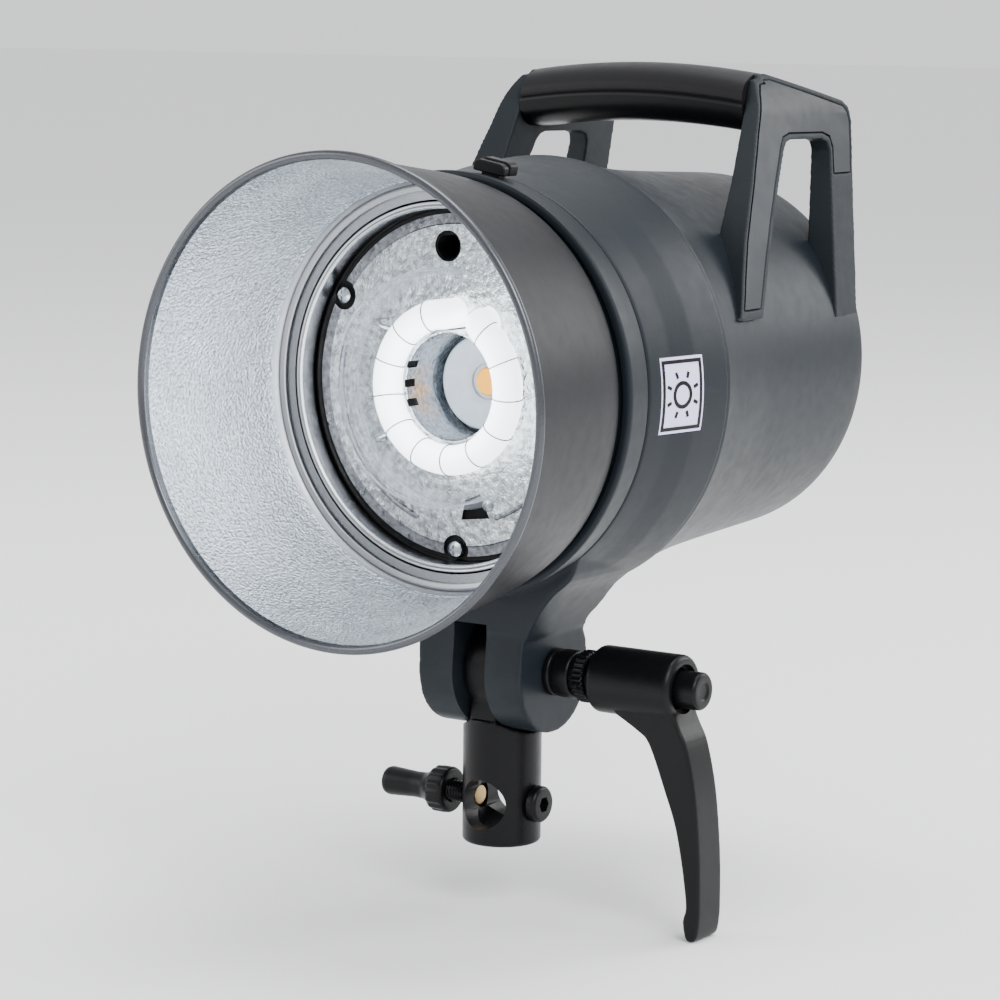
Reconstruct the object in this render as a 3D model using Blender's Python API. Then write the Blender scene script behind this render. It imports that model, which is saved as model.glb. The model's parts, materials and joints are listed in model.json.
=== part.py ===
"""Monolight strobe: a studio flash head with a short reflector, a top handle and a tilting stand bracket.

Metres, +Z up. The origin is the centre of the stand socket's bottom face. The lamp fires towards -Y,
and the clamp lever is on the +X side. Lengths in the outlines below are millimetres, turned into
metres by MM.
"""
import math

import bmesh
import bpy
from mathutils import Matrix, Vector

MM = 0.001
GAP = 0.3                     # air between neighbouring pieces, mm

# Driving dimensions, mm
LAMP_Z = 159.7                # height of the lamp axis
PIVOT_Z = 61.4                # height of the tilt axis
REFLECTOR_RADIUS = 80.0
REFLECTOR_FRONT_Y = -98.9
REFLECTOR_BACK_Y = -35.6
BELL_WALL = 1.2
COLLAR_BORE = 59.0            # clear radius through the reflector's bayonet collar
RING_FRONT_Y = -34.0
SEAM_FRONT_Y = -17.6          # front ring meets front shell
SEAM_REAR_Y = 15.0            # front shell meets rear shell
BODY_REAR_Y = 135.5
PLATE_Y = -28.0               # front face of the silver front plate
PLATE_RADIUS = 57.3
PLATE_SCREWS = ((55.2, 150.0), (55.2, 269.0), (55.2, 29.0))     # radius, degrees from +X
TUBE_RING_RADIUS = 24.2
TUBE_RADIUS = 5.0
TUBE_Y = -35.0
TUBE_END_DEGREES = (64.0, 96.0)
SOCKET_FACE_Y = -24.6         # front face of the flash tube's socket
CUP_RADIUS = 18.6
CUP_FRONT_Y = -33.0
LED_Y = -11.4
UMBRELLA_X = -4.9
UMBRELLA_Z = LAMP_Z + 46.2
UMBRELLA_BORE = 4.4
UMBRELLA_OUTER = 5.3
BADGE_FRONT_Y = -14.6
BADGE_REAR_Y = 7.2
BADGE_HALF_HEIGHT = 12.8
RELEASE_DEGREES = 80.0        # place of the release slider round the front ring
SOCKET_RADIUS = 13.6
SPIGOT_BORE = 8.15
SPIGOT_DEPTH = 32.0
CROSS_BORE = 8.7
CROSS_Z = 14.6
LUG_RADIUS = 21.1
LUG_HALF_WIDTH = 21.0
SLOT_HALF_WIDTH = 6.6
SLOT_ROOF_Z = 78.7
TONGUE_HALF_WIDTH = 5.3
TONGUE_RADIUS = 16.0
BOLT_RADIUS = 4.0
BOLT_HEAD = 6.2
LEVER_HALF_WIDTH = 7.55
GRIP_FRONT_Y = 75.2
GRIP_REAR_Y = 111.0
GRIP_PART_Z = 252.1           # parting line at the grip's ends
GRIP_RISE = 3.2               # height gained in the middle of the grip
COVER_DEPTH = 1.6
PANEL_RADIUS = 59.2
PANEL_FRONT_Y = 128.5
PANEL_BACK_Y = 131.5
PANEL_SCREW_RADIUS = 54.0
PANEL_SCREWS = 3
BUTTON_PLACES = (-36.0, -22.0, 22.0)
CONTROL_Z = LAMP_Z - 6.0      # height of the knob and the buttons
FUSE = (28.0, LAMP_Z - 36.0)
SYNC = (42.0, LAMP_Z - 18.0)
FAN_Y = 106.5
FAN_DEPTH = 11.0
FAN_HALF = 24.0

X_AXIS = Vector((1, 0, 0))
Y_AXIS = Vector((0, 1, 0))
Z_AXIS = Vector((0, 0, 1))
LAMP = (0, 0, LAMP_Z)
PIVOT = (0, 0, PIVOT_Z)


# ---------------------------------------------------------------- tools

def clear_scene():
    for thing in list(bpy.data.objects):
        bpy.data.objects.remove(thing)


def finish_of(name, colour, roughness, metallic=0.0, glow=0.0):
    """A Principled material, made once and shared by name."""
    material = bpy.data.materials.get(name)
    if material:
        return material
    material = bpy.data.materials.new(name)
    material.use_nodes = True
    shader = material.node_tree.nodes["Principled BSDF"]
    shader.inputs["Base Color"].default_value = (*colour, 1.0)
    shader.inputs["Roughness"].default_value = roughness
    shader.inputs["Metallic"].default_value = metallic
    shader.inputs["Emission Color"].default_value = (*colour, 1.0)
    shader.inputs["Emission Strength"].default_value = glow
    return material


def slate():
    return finish_of("slate_casing", (0.035, 0.045, 0.055), 0.45)


def black():
    return finish_of("black_plastic", (0.012, 0.012, 0.014), 0.5)


def grip_rubber():
    return finish_of("grip_rubber", (0.015, 0.014, 0.016), 0.6)


def black_metal():
    return finish_of("black_metal", (0.02, 0.02, 0.022), 0.4, 0.6)


def steel():
    return finish_of("steel", (0.6, 0.61, 0.62), 0.3, 1.0)


def silver():
    return finish_of("silver", (0.8, 0.81, 0.82), 0.25, 1.0)


def brass():
    return finish_of("brass", (0.7, 0.5, 0.2), 0.35, 1.0)


def ceramic():
    return finish_of("ceramic", (0.85, 0.85, 0.83), 0.5)


def clear_glass():
    return finish_of("clear_glass", (0.9, 0.95, 0.96), 0.05)


def circuit():
    return finish_of("circuit_board", (0.02, 0.14, 0.06), 0.5)


def add_object(name, mesh_builder, material, sharp_degrees=35.0):
    """An object from a bmesh in millimetres, faces out, smooth except at sharp edges."""
    bmesh.ops.recalc_face_normals(mesh_builder, faces=mesh_builder.faces)
    if mesh_builder.calc_volume(signed=True) < 0:
        bmesh.ops.reverse_faces(mesh_builder, faces=mesh_builder.faces)
    mesh_builder.transform(Matrix.Scale(MM, 4))
    mesh = bpy.data.meshes.new(name)
    mesh_builder.to_mesh(mesh)
    mesh_builder.free()
    mesh.materials.append(material)
    mesh.shade_smooth()
    mesh.set_sharp_from_angle(angle=math.radians(sharp_degrees))
    thing = bpy.data.objects.new(name, mesh)
    bpy.context.collection.objects.link(thing)
    return thing


def across(axis):
    """Two directions square to an axis, so that (first, second, axis) is right-handed."""
    second = Z_AXIS if abs(axis.z) < 0.9 else Y_AXIS
    first = second.cross(axis)
    return first, second


def turned(name, outline, axis, centre, sides, material):
    """Turn an outline of (radius, place along the axis) about an axis through centre.

    An outline whose ends are on the axis is a solid; any other is a closed ring.
    """
    first, second = across(axis)
    builder = bmesh.new()
    rings = []
    for radius, along in outline:
        middle = Vector(centre) + axis * along
        if radius < 1e-6:
            rings.append([builder.verts.new(middle)])
            continue
        turn = [2 * math.pi * step / sides for step in range(sides)]
        rings.append([
            builder.verts.new(middle + (first * math.cos(a) + second * math.sin(a)) * radius)
            for a in turn
        ])
    solid = len(rings[0]) == 1 and len(rings[-1]) == 1
    pairs = list(zip(rings, rings[1:]))
    if not solid:
        pairs.append((rings[-1], rings[0]))
    for lower, upper in pairs:
        for step in range(sides):
            after = (step + 1) % sides
            corners = [lower[step % len(lower)], lower[after % len(lower)],
                       upper[after % len(upper)], upper[step % len(upper)]]
            corners = list(dict.fromkeys(corners))
            if len(corners) > 2:
                builder.faces.new(corners)
    return add_object(name, builder, material)


def rod(name, radius, low, high, axis, centre, sides, material):
    """A plain round bar from low to high along an axis."""
    return turned(name, [(0, low), (radius, low), (radius, high), (0, high)], axis, centre, sides,
                  material)


def tube(name, outer, inner, low, high, axis, centre, sides, material):
    """A plain sleeve from low to high along an axis."""
    outline = [(inner, low), (outer, low), (outer, high), (inner, high)]
    return turned(name, outline, axis, centre, sides, material)


def extruded(name, outline, axis, low, high, material):
    """Extrude an outline along an axis. Outlines are (y, z) along X, (x, z) along Y, (x, y) along Z."""
    def place(point, along):
        if axis == X_AXIS:
            return Vector((along, point[0], point[1]))
        if axis == Y_AXIS:
            return Vector((point[0], along, point[1]))
        return Vector((point[0], point[1], along))

    builder = bmesh.new()
    bottom = [builder.verts.new(place(point, low)) for point in outline]
    top = [builder.verts.new(place(point, high)) for point in outline]
    builder.faces.new(bottom)
    builder.faces.new(top)
    for index in range(len(outline)):
        after = (index + 1) % len(outline)
        builder.faces.new([bottom[index], bottom[after], top[after], top[index]])
    return add_object(name, builder, material)


def block(name, low, high, material, bevel=0.0, segments=1):
    """A box between two corners, with rounded edges if bevel is given."""
    outline = [(low[0], low[1]), (high[0], low[1]), (high[0], high[1]), (low[0], high[1])]
    thing = extruded(name, outline, Z_AXIS, low[2], high[2], material)
    if bevel:
        round_edges(thing, bevel, segments)
    return thing


def round_edges(thing, width, segments=1, degrees=40.0):
    modifier = thing.modifiers.new("rounding", "BEVEL")
    modifier.width = width * MM
    modifier.segments = segments
    modifier.limit_method = "ANGLE"
    modifier.angle_limit = math.radians(degrees)


def combine(thing, tool, operation):
    """Join, cut or keep the overlap of a thing with a tool that is then hidden."""
    modifier = thing.modifiers.new(operation.lower(), "BOOLEAN")
    modifier.operation = operation
    modifier.object = tool
    tool.hide_render = True
    tool.display_type = "WIRE"


def cut(thing, *tools):
    for tool in tools:
        combine(thing, tool, "DIFFERENCE")


def join(thing, *tools):
    for tool in tools:
        combine(thing, tool, "UNION")


def arc(centre, radius, start, end, steps):
    """Points of an arc, in degrees."""
    points = []
    for step in range(steps + 1):
        angle = math.radians(start + (end - start) * step / steps)
        points.append((centre[0] + radius * math.cos(angle), centre[1] + radius * math.sin(angle)))
    return points


def around_lamp(radius, degrees):
    """(x, z) of a point at a radius and an angle from +X, about the lamp axis."""
    angle = math.radians(degrees)
    return radius * math.cos(angle), LAMP_Z + radius * math.sin(angle)


def pivot_group(name, place, things, parent=None):
    """An empty on a joint's axis that carries the things that move with it."""
    empty = bpy.data.objects.new(name, None)
    bpy.context.collection.objects.link(empty)
    empty.location = Vector(place) * MM
    here = Matrix.Translation(empty.location)
    if parent:
        empty.parent = parent
        empty.matrix_parent_inverse = Matrix.Translation(-parent.location)
    for thing in things:
        thing.parent = empty
        thing.matrix_parent_inverse = here.inverted()
    return empty


def bent_rod(name, points, radius, resolution, material):
    """A round bar along a row of points, with flat ends."""
    curve = bpy.data.curves.new(name, "CURVE")
    curve.dimensions = "3D"
    curve.bevel_depth = radius * MM
    curve.bevel_resolution = resolution
    curve.use_fill_caps = True
    spline = curve.splines.new("POLY")
    spline.points.add(len(points) - 1)
    for slot, point in zip(spline.points, points):
        slot.co = (*(Vector(point) * MM), 1.0)
    curve.materials.append(material)
    thing = bpy.data.objects.new(name, curve)
    bpy.context.collection.objects.link(thing)
    return thing


# ---------------------------------------------------------------- stand bracket

def spigot_socket():
    """Round socket for the stand's spigot, with a flat tongue above it that the head tilts on."""
    top = 44.2
    reach = SOCKET_RADIUS + 2
    cross = (0, 0, CROSS_Z)
    outline = [(0, SPIGOT_DEPTH), (SPIGOT_BORE, SPIGOT_DEPTH), (SPIGOT_BORE, 0), (SOCKET_RADIUS - 0.8, 0),
               (SOCKET_RADIUS, 0.8), (SOCKET_RADIUS, top), (0, top)]
    body = turned("spigot_socket", outline, Z_AXIS, (0, 0, 0), 32, black_metal())
    tongue_outline = [(12.6, 36), (12.2, 46)] + arc((0, PIVOT_Z), TONGUE_RADIUS, -42, 222, 22) + [
        (-12.2, 46), (-12.6, 36)]
    tongue = extruded("cutter_tongue", tongue_outline, X_AXIS, -TONGUE_HALF_WIDTH, TONGUE_HALF_WIDTH,
                      black_metal())
    cut(tongue, rod("cutter_pivot_hole", BOLT_RADIUS + GAP, -8, 8, X_AXIS, PIVOT, 16, black_metal()))
    cut(body,
        rod("cutter_relief", LUG_RADIUS + 0.8, -reach, reach, X_AXIS, PIVOT, 28, black_metal()),
        rod("cutter_cross_bore", CROSS_BORE, -reach, reach, Y_AXIS, cross, 24, black_metal()),
        rod("cutter_screw_holes", BOLT_RADIUS + GAP, -reach, reach, X_AXIS, cross, 16, black_metal()))
    join(body, tongue)
    return body


def blank_screw():
    """Hexagon-socket plug screw in the socket's second clamp hole."""
    face = SOCKET_RADIUS + GAP
    outline = [(0, 8.6), (BOLT_RADIUS, 8.6), (BOLT_RADIUS, face), (6.3, face), (6.3, face + 3.0),
               (5.8, face + 3.6), (0, face + 3.6)]
    screw = turned("blank_screw", outline, X_AXIS, (0, 0, CROSS_Z), 20, black_metal())
    cut(screw, rod("cutter_hex", 2.8, face + 1.2, face + 5, X_AXIS, (0, 0, CROSS_Z), 6, black_metal()))
    return screw


def friction_washer(name, side):
    """Fibre washer between the tongue and a cheek of the lug."""
    low, high = sorted((side * (TONGUE_HALF_WIDTH + GAP), side * (SLOT_HALF_WIDTH - GAP)))
    return tube(name, 13.6, BOLT_RADIUS + 2 * GAP, low, high, X_AXIS, PIVOT, 20,
                finish_of("fibre", (0.25, 0.2, 0.14), 0.8))


def lock_pad():
    """Brass pad at the tip of the lock screw; it presses on the spigot and doesn't turn."""
    return rod("lock_pad", 3.4, -10.4, -8.8, X_AXIS, (0, 0, CROSS_Z), 16, brass())


def lock_stud():
    """Threaded rod of the lock screw."""
    thread = BOLT_RADIUS - 0.2
    core = BOLT_RADIUS - 0.8
    outline = [(0, -31), (core, -31), (core, -20), (thread, -20), (thread, -11.4), (core, -10.7), (0, -10.7)]
    return turned("lock_stud", outline, X_AXIS, (0, 0, CROSS_Z), 20, black_metal())


def lock_knob():
    """Hand knob: a ribbed hub that runs out into a tapered handle."""
    outline = [(0, -48.2), (4.3, -48.2), (5.1, -47.2), (4.5, -35), (4.9, -30), (8.1, -27.1), (8.15, -21.3),
               (7.4, -20.3), (BOLT_RADIUS, -20.3), (BOLT_RADIUS, -31.6), (0, -31.6)]
    return turned("lock_knob", outline, X_AXIS, (0, 0, CROSS_Z), 20, black())


def tilt_bolt():
    """Bolt through both cheeks and the tongue, with its head let into the left cheek."""
    head = LUG_HALF_WIDTH - 4.4
    outline = [(0, -head - 4.2), (BOLT_HEAD, -head - 4.2), (BOLT_HEAD, -head), (BOLT_RADIUS, -head),
               (BOLT_RADIUS, 48.6), (0, 48.6)]
    return turned("tilt_bolt", outline, X_AXIS, PIVOT, 20, steel())


def clamp_collar():
    """Spacer on the bolt between the right cheek and the lever."""
    near = LUG_HALF_WIDTH + GAP
    outline = [(BOLT_RADIUS + GAP, near), (8.2, near), (8.2, 30.4), (7.8, 31.0), (BOLT_RADIUS + GAP, 31.0)]
    return turned("clamp_collar", outline, X_AXIS, PIVOT, 20, black())


def clamp_insert():
    """Threaded insert that the lever drives; its knurled ring shows beside the collar."""
    outline = [(0, 58.4), (6.8, 58.4), (6.8, 37.2), (9.0, 37.2), (9.0, 33.0), (7.4, 33.0), (7.4, 31.3),
               (BOLT_RADIUS + GAP, 31.3), (BOLT_RADIUS + GAP, 50.6), (0, 50.6)]
    return turned("clamp_insert", outline, X_AXIS, PIVOT, 20, black_metal())


def clamp_lever():
    """Lever that locks the tilt: a round hub with an arm that hangs down and outwards."""
    hub_outline = [(7.1, 39.9), (10.5, 39.9), (11.4, 40.9), (11.4, 71.2), (10.1, 72.5), (8.3, 72.5),
                   (8.3, 70.3), (7.1, 70.3)]
    hub = turned("clamp_lever", hub_outline, X_AXIS, PIVOT, 26, black())
    outer_side = [(71.6, 54.6), (74.6, 49.8), (77.9, 43.0), (81.4, 27.4), (83.4, 7.1), (83.8, -10.0),
                  (83.5, -16.5)]
    tip = [(82.6, -20.8), (80.6, -22.2), (78.7, -21.2)]
    inner_side = [(77.4, -15.5), (78.6, -10.6), (77.6, -2), (76.0, 7.2), (73.6, 17.3), (69.7, 27.5),
                  (63.4, 42.5), (58.6, 46.8), (49.2, 51.8)]
    arm = extruded("cutter_arm", outer_side + tip + inner_side, Y_AXIS, -LEVER_HALF_WIDTH, LEVER_HALF_WIDTH,
                   black())
    round_edges(arm, 1.6, 1, 50)
    cut(arm, rod("cutter_arm_bore", 8.7, 39, 78, X_AXIS, PIVOT, 24, black()))
    join(hub, arm)
    return hub


def lever_button():
    """Push button in the lever's end; pressing it frees the lever from the insert."""
    outline = [(0, 69.2), (6.4, 69.2), (6.4, 79.3), (5.6, 80.1), (0, 80.1)]
    return turned("lever_button", outline, X_AXIS, PIVOT, 20, black())


def lever_spring():
    """Coil spring that holds the lever on the insert."""
    return coil("lever_spring", 3, 4.6, 0.5, 59.4, 63.8)


def coil(name, turns, radius, wire, low, high):
    """Wire wound along X about the tilt axis."""
    steps = turns * 9
    points = []
    for step in range(steps + 1):
        angle = 2 * math.pi * turns * step / steps
        along = low + (high - low) * step / steps
        points.append((along, radius * math.cos(angle), PIVOT_Z + radius * math.sin(angle)))
    return bent_rod(name, points, wire, 1, steel())


# ---------------------------------------------------------------- casing

REAR_SHELL_OUTSIDE = [(75.0, SEAM_REAR_Y + GAP), (74.5, 20.4), (72.8, 29.2), (70.8, 44.1), (68.8, 61.7),
                      (67.3, 85.4), (66.0, 114.4), (65.3, 129.4), (63.6, 134.1), (61.2, BODY_REAR_Y)]


def round_lamp_block(name, low, high, degrees, material, bevel=0.0):
    """A block drawn above the lamp axis, then turned about it to a place round the ring."""
    thing = block(name, low, high, material, bevel)
    turn = Matrix.Rotation(math.radians(90 - degrees), 4, "Y")
    middle = Matrix.Translation(Vector(LAMP) * MM)
    thing.matrix_world = middle @ turn @ middle.inverted()
    return thing


def front_ring():
    """Ring round the reflector's bayonet, with three gaps in its lip for the collar's lugs."""
    back = SEAM_FRONT_Y - GAP
    front = RING_FRONT_Y
    inner = 64.6
    lip_back = front + 2.5
    outline = [(inner, back), (70.0, back), (71.7, front - 0.3), (71.0, front - 1.0), (69.0, front),
               (62.3, front), (62.3, lip_back), (inner, lip_back)]
    ring = turned("front_ring", outline, Y_AXIS, LAMP, 40, slate())
    for index in range(3):
        low = (-6, front - 3, LAMP_Z + 60.4)
        high = (6, lip_back + 0.6, LAMP_Z + 65.6)
        cut(ring, round_lamp_block(f"cutter_lug_gap_{index}", low, high, 40 + 120 * index, slate()))
    cut(ring, round_lamp_block("cutter_release_slot", (-4.3, -29.4, LAMP_Z + 60), (4.3, -20.6, LAMP_Z + 80),
                               RELEASE_DEGREES, slate()))
    return ring


def front_shell():
    """Front casing, with the forked lug that the bracket's tongue fits."""
    front = SEAM_FRONT_Y
    rear = SEAM_REAR_Y
    outline = [(67.5, front), (70.1, front), (71.4, -9), (73.4, 3), (75.0, rear), (72.0, rear), (70.4, 3),
               (68.4, -9)]
    shell = turned("front_shell", outline, Y_AXIS, LAMP, 40, slate())
    flare = [(LUG_HALF_WIDTH, 38), (LUG_HALF_WIDTH, 70.1), (22.6, 75.9), (26.5, 82.7), (32.6, 90.5),
             (41.4, 99.2), (45, 115.7)]
    flare_outline = flare + [(-x, z) for x, z in reversed(flare)]
    side_outline = arc((0, PIVOT_Z), LUG_RADIUS, 180, 360, 16) + [
        (19.9, 70.1), (16.8, 78), (rear - 0.4, 85), (rear - 0.4, 112), (front + 0.4, 112),
        (front + 0.4, 87), (-19.9, 75)]
    lug = extruded("cutter_lug_side", side_outline, X_AXIS, -60, 60, slate())
    combine(lug, extruded("cutter_lug_flare", flare_outline, Y_AXIS, -40, 40, slate()), "INTERSECT")
    inside_outline = [(0, -40), (68.4, -40), (69.6, -9), (73.2, rear + 3), (0, rear + 3)]
    inside = turned("cutter_shell_inside", inside_outline, Y_AXIS, LAMP, 40, slate())
    cut(lug, inside)
    join(shell, lug)
    slot = block("cutter_slot", (-SLOT_HALF_WIDTH, -40, 30), (SLOT_HALF_WIDTH, 40, SLOT_ROOF_Z), slate())
    recess_x = -LUG_HALF_WIDTH + 4.7
    recess = BOLT_HEAD + 0.4
    hole = turned("cutter_cheek_hole", [(0, -40), (recess, -40), (recess, recess_x),
                                        (BOLT_RADIUS + GAP, recess_x), (BOLT_RADIUS + GAP, 40), (0, 40)],
                  X_AXIS, PIVOT, 16, slate())
    window = block("cutter_badge", (60, BADGE_FRONT_Y, LAMP_Z - BADGE_HALF_HEIGHT),
                   (90, BADGE_REAR_Y, LAMP_Z + BADGE_HALF_HEIGHT), slate())
    cut(shell, window, slot, hole)
    return shell


def badge_tile():
    """Backlit translucent tile in the right side of the front shell, curved with it."""
    half = BADGE_HALF_HEIGHT - GAP
    front = BADGE_FRONT_Y + GAP
    rear = BADGE_REAR_Y - GAP
    tile = turned("badge_tile", [(68.8, front), (70.3, front), (73.8, rear), (71.0, rear)], Y_AXIS, LAMP, 96,
                  finish_of("badge_light", (0.72, 0.7, 0.95), 0.4, 0.0, 0.6))
    combine(tile, block("cutter_badge_edge", (60, -30, LAMP_Z - half), (90, 10, LAMP_Z + half), slate()),
            "INTERSECT")
    return tile


def rear_shell():
    """Long rear casing with a rounded rear end."""
    inside = [(PANEL_RADIUS + GAP, BODY_REAR_Y), (PANEL_RADIUS + GAP, PANEL_FRONT_Y - GAP), (62.4, 126.5),
              (64.3, 85.4), (67.8, 44.1), (72.0, SEAM_REAR_Y + GAP)]
    return turned("rear_shell", REAR_SHELL_OUTSIDE + inside, Y_AXIS, LAMP, 40, slate())


def rear_panel():
    """Control panel that closes the rear shell."""
    outline = [(0, PANEL_FRONT_Y), (PANEL_RADIUS, PANEL_FRONT_Y), (PANEL_RADIUS, PANEL_BACK_Y),
               (0, PANEL_BACK_Y)]
    panel = turned("rear_panel", outline, Y_AXIS, LAMP, 40, black())

    def through(name, x, z, radius, sides=12):
        return rod(f"cutter_{name}", radius, PANEL_FRONT_Y - 2, PANEL_BACK_Y + 2, Y_AXIS, (x, 0, z), sides,
                   black())

    def opening(name, low_x, high_x, low_z, high_z):
        return block(f"cutter_{name}", (low_x, PANEL_FRONT_Y - 2, LAMP_Z + low_z),
                     (high_x, PANEL_BACK_Y + 2, LAMP_Z + high_z), black())

    cut(panel,
        through("tube_exit", UMBRELLA_X, UMBRELLA_Z, UMBRELLA_OUTER + GAP, 14),
        opening("display", -30.3, 30.3, 13.7, 36.3),
        through("knob_shaft", 0, CONTROL_Z, 4.0),
        opening("inlet", -29.3, -0.7, -46.8, -25.2),
        opening("switch", 4.2, 17.8, -46.3, -25.7),
        through("fuse", *FUSE, 6.3),
        through("sync", *SYNC, 4.3))
    for index, x in enumerate(BUTTON_PLACES):
        cut(panel, through(f"menu_{index}", x, CONTROL_Z, 4.8))
    for index in range(PANEL_SCREWS):
        x, z = panel_screw_place(index)
        cut(panel, through(f"panel_screw_{index}", x, z, 1.8, 8))
    return panel


def panel_screw_place(index):
    return around_lamp(PANEL_SCREW_RADIUS, 45 + 90 * index)


def rear_screw(index):
    """Pan-head screw that holds the rear panel."""
    x, z = panel_screw_place(index)
    seat = PANEL_BACK_Y + GAP
    outline = [(0, PANEL_FRONT_Y - 4), (1.5, PANEL_FRONT_Y - 4), (1.5, seat), (3.0, seat), (2.6, seat + 1.4),
               (0, seat + 1.7)]
    return turned(f"rear_screw_{index + 1}", outline, Y_AXIS, (x, 0, z), 10, steel())


# ---------------------------------------------------------------- handle

def plate_outer_x(y, z):
    """Outer face of a handle side plate: it leans in towards the top, less at the rear, and rolls over."""
    lean = 0.23 - 0.00105 * (y - 38.4)
    roll = max(0.0, z - 248.0) ** 2 / 44.0
    return 51.9 + lean * (259.7 - z) - roll


def plate_inner_x(z):
    return 46.2 + 0.07 * (252.0 - z)


PLATE_OUTLINE = [(38.6, 181.5), (61.0, 225.5), (74.0, 251.0), (76.6, 256.0), (79.8, 260.2),
                 (84.0, 262.0), (89.4, 262.3), (136.0, 252.4), (139.6, 250.0), (141.0, 245.0),
                 (138.4, 226.0), (133.5, 190.0), (131.2, 176.5), (113.4, 176.5), (122.3, 235.0),
                 (121.0, 238.0), (117.0, 239.2), (94.0, 239.5), (90.5, 238.5), (88.2, 236.0), (54.0, 180.5),
                 (40.0, 180.5)]
COVER_OUTLINE = [(41.8, 183.6), (63.0, 225.5), (76.0, 251.0), (78.7, 255.8), (81.8, 258.9),
                 (85.6, 260.3), (89.8, 260.5), (135.3, 250.7), (137.9, 248.6), (139.3, 244.6),
                 (136.9, 226.5), (123.2, 226.5), (124.4, 236.0), (122.8, 239.8), (118.0, 241.2),
                 (93.4, 241.5), (88.6, 240.3), (86.0, 237.0), (53.2, 183.6)]
FRONT_EDGE_POINTS = 5         # corners of an outline that lie on the front edge
FRONT_SETBACK = 0.42          # the front face falls back this much for each mm towards the middle
FRONT_SETBACK_LIMIT = 8.0


def slab(name, outline, side, material):
    """An outline of (y, z) run along X, with its front edge falling back towards the middle."""
    near, far = 40.0, 84.0
    builder = bmesh.new()
    loops = []
    for x in (near, far):
        loop = []
        for index, (y, z) in enumerate(outline):
            back = 0.0
            if index < FRONT_EDGE_POINTS:
                back = min((plate_outer_x(y, z) - x) * FRONT_SETBACK, FRONT_SETBACK_LIMIT)
            loop.append(builder.verts.new((side * x, y + back, z)))
        loops.append(loop)
        builder.faces.new(loop)
    for index in range(len(outline)):
        after = (index + 1) % len(outline)
        builder.faces.new([loops[0][index], loops[0][after], loops[1][after]])
        builder.faces.new([loops[0][index], loops[1][after], loops[1][index]])
    return add_object(name, builder, material)


def leaning_profile(name, inner_x, outer_x, side, material):
    """A solid between two leaning faces, from below the plate's legs to above its top."""
    heights = [160, 190, 220, 248, 252, 256, 259.5, 262.8]
    builder = bmesh.new()
    rings = []
    for y in (20.0, 90.0, 160.0):
        inner = [builder.verts.new((side * inner_x(y, z), y, z)) for z in heights]
        outer = [builder.verts.new((side * outer_x(y, z), y, z)) for z in heights]
        rings.append(inner + outer[::-1])
    for ring in (rings[0], rings[-1]):
        builder.faces.new(ring)
    count = len(rings[0])
    for lower, upper in zip(rings, rings[1:]):
        for corner in range(count):
            after = (corner + 1) % count
            builder.faces.new([lower[corner], lower[after], upper[after], upper[corner]])
    bmesh.ops.triangulate(builder, faces=builder.faces)
    return add_object(name, builder, material)


def handle_plate(name, side):
    """Side plate of the handle: two legs that run down into the rear shell, with a window between."""
    plate = slab(name, PLATE_OUTLINE, side, slate())
    combine(plate, leaning_profile(f"cutter_lean_{name}", lambda y, z: plate_inner_x(z), plate_outer_x, side,
                                   slate()), "INTERSECT")
    around = [(radius + GAP, along) for radius, along in REAR_SHELL_OUTSIDE]
    body_outline = [(0, 10), (around[0][0], 10)] + around + [(0, BODY_REAR_Y + GAP)]
    body = turned(f"cutter_body_{name}", body_outline, Y_AXIS, LAMP, 40, slate())
    recess = slab(f"cutter_recess_{name}", COVER_OUTLINE, side, slate())
    recess_layer = leaning_profile(f"cutter_recess_lean_{name}",
                                   lambda y, z: plate_outer_x(y, z) - COVER_DEPTH,
                                   lambda y, z: plate_outer_x(y, z) + 3, side, slate())
    combine(recess, recess_layer, "INTERSECT")
    cut(plate, body, recess)
    return plate


def handle_cover(name, side):
    """Thin inlay that covers the outside of a handle plate."""
    cover = slab(name, inset(COVER_OUTLINE, GAP), side, slate())
    layer = leaning_profile(f"cutter_lean_{name}", lambda y, z: plate_outer_x(y, z) - COVER_DEPTH + GAP,
                            plate_outer_x, side, slate())
    combine(cover, layer, "INTERSECT")
    return cover


def inset(outline, distance):
    """The outline moved inwards by a distance; its points run clockwise."""
    moved = []
    for index, point in enumerate(outline):
        here = Vector(point)
        before = (here - Vector(outline[index - 1])).normalized()
        after = (Vector(outline[(index + 1) % len(outline)]) - here).normalized()
        inward = Vector((before.y, -before.x)) + Vector((after.y, -after.x))
        inward.normalize()
        moved.append(tuple(here + inward * distance / inward.dot(Vector((after.y, -after.x)))))
    return moved


def grip_section(name, profile, material):
    """A bar along X between the plates, lofted through arched stations of the profile."""
    stations = 11
    builder = bmesh.new()
    rings = []
    for index in range(stations):
        place = -1 + 2 * index / (stations - 1)
        rise = GRIP_RISE * (1 - place * place)
        rings.append([
            builder.verts.new((place * (plate_inner_x(GRIP_PART_Z + z) - GAP), y, GRIP_PART_Z + z + rise))
            for y, z in profile
        ])
    builder.faces.new(rings[0])
    builder.faces.new(rings[-1])
    count = len(rings[0])
    for lower, upper in zip(rings, rings[1:]):
        for corner in range(count):
            after = (corner + 1) % count
            builder.faces.new([lower[corner], lower[after], upper[after], upper[corner]])
    return add_object(name, builder, material)


def grip_top():
    """Soft upper shell of the grip; its back slopes down to the rear."""
    front, rear = GRIP_FRONT_Y, GRIP_REAR_Y
    profile = [(front, GAP), (rear, GAP), (rear - 0.8, 2.4), (rear - 5, 4.8), (rear - 13, 7.2),
               (front + 13, 10.2), (front + 5, 8.4), (front + 0.8, 4.2)]
    return grip_section("grip_top", profile, grip_rubber())


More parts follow.
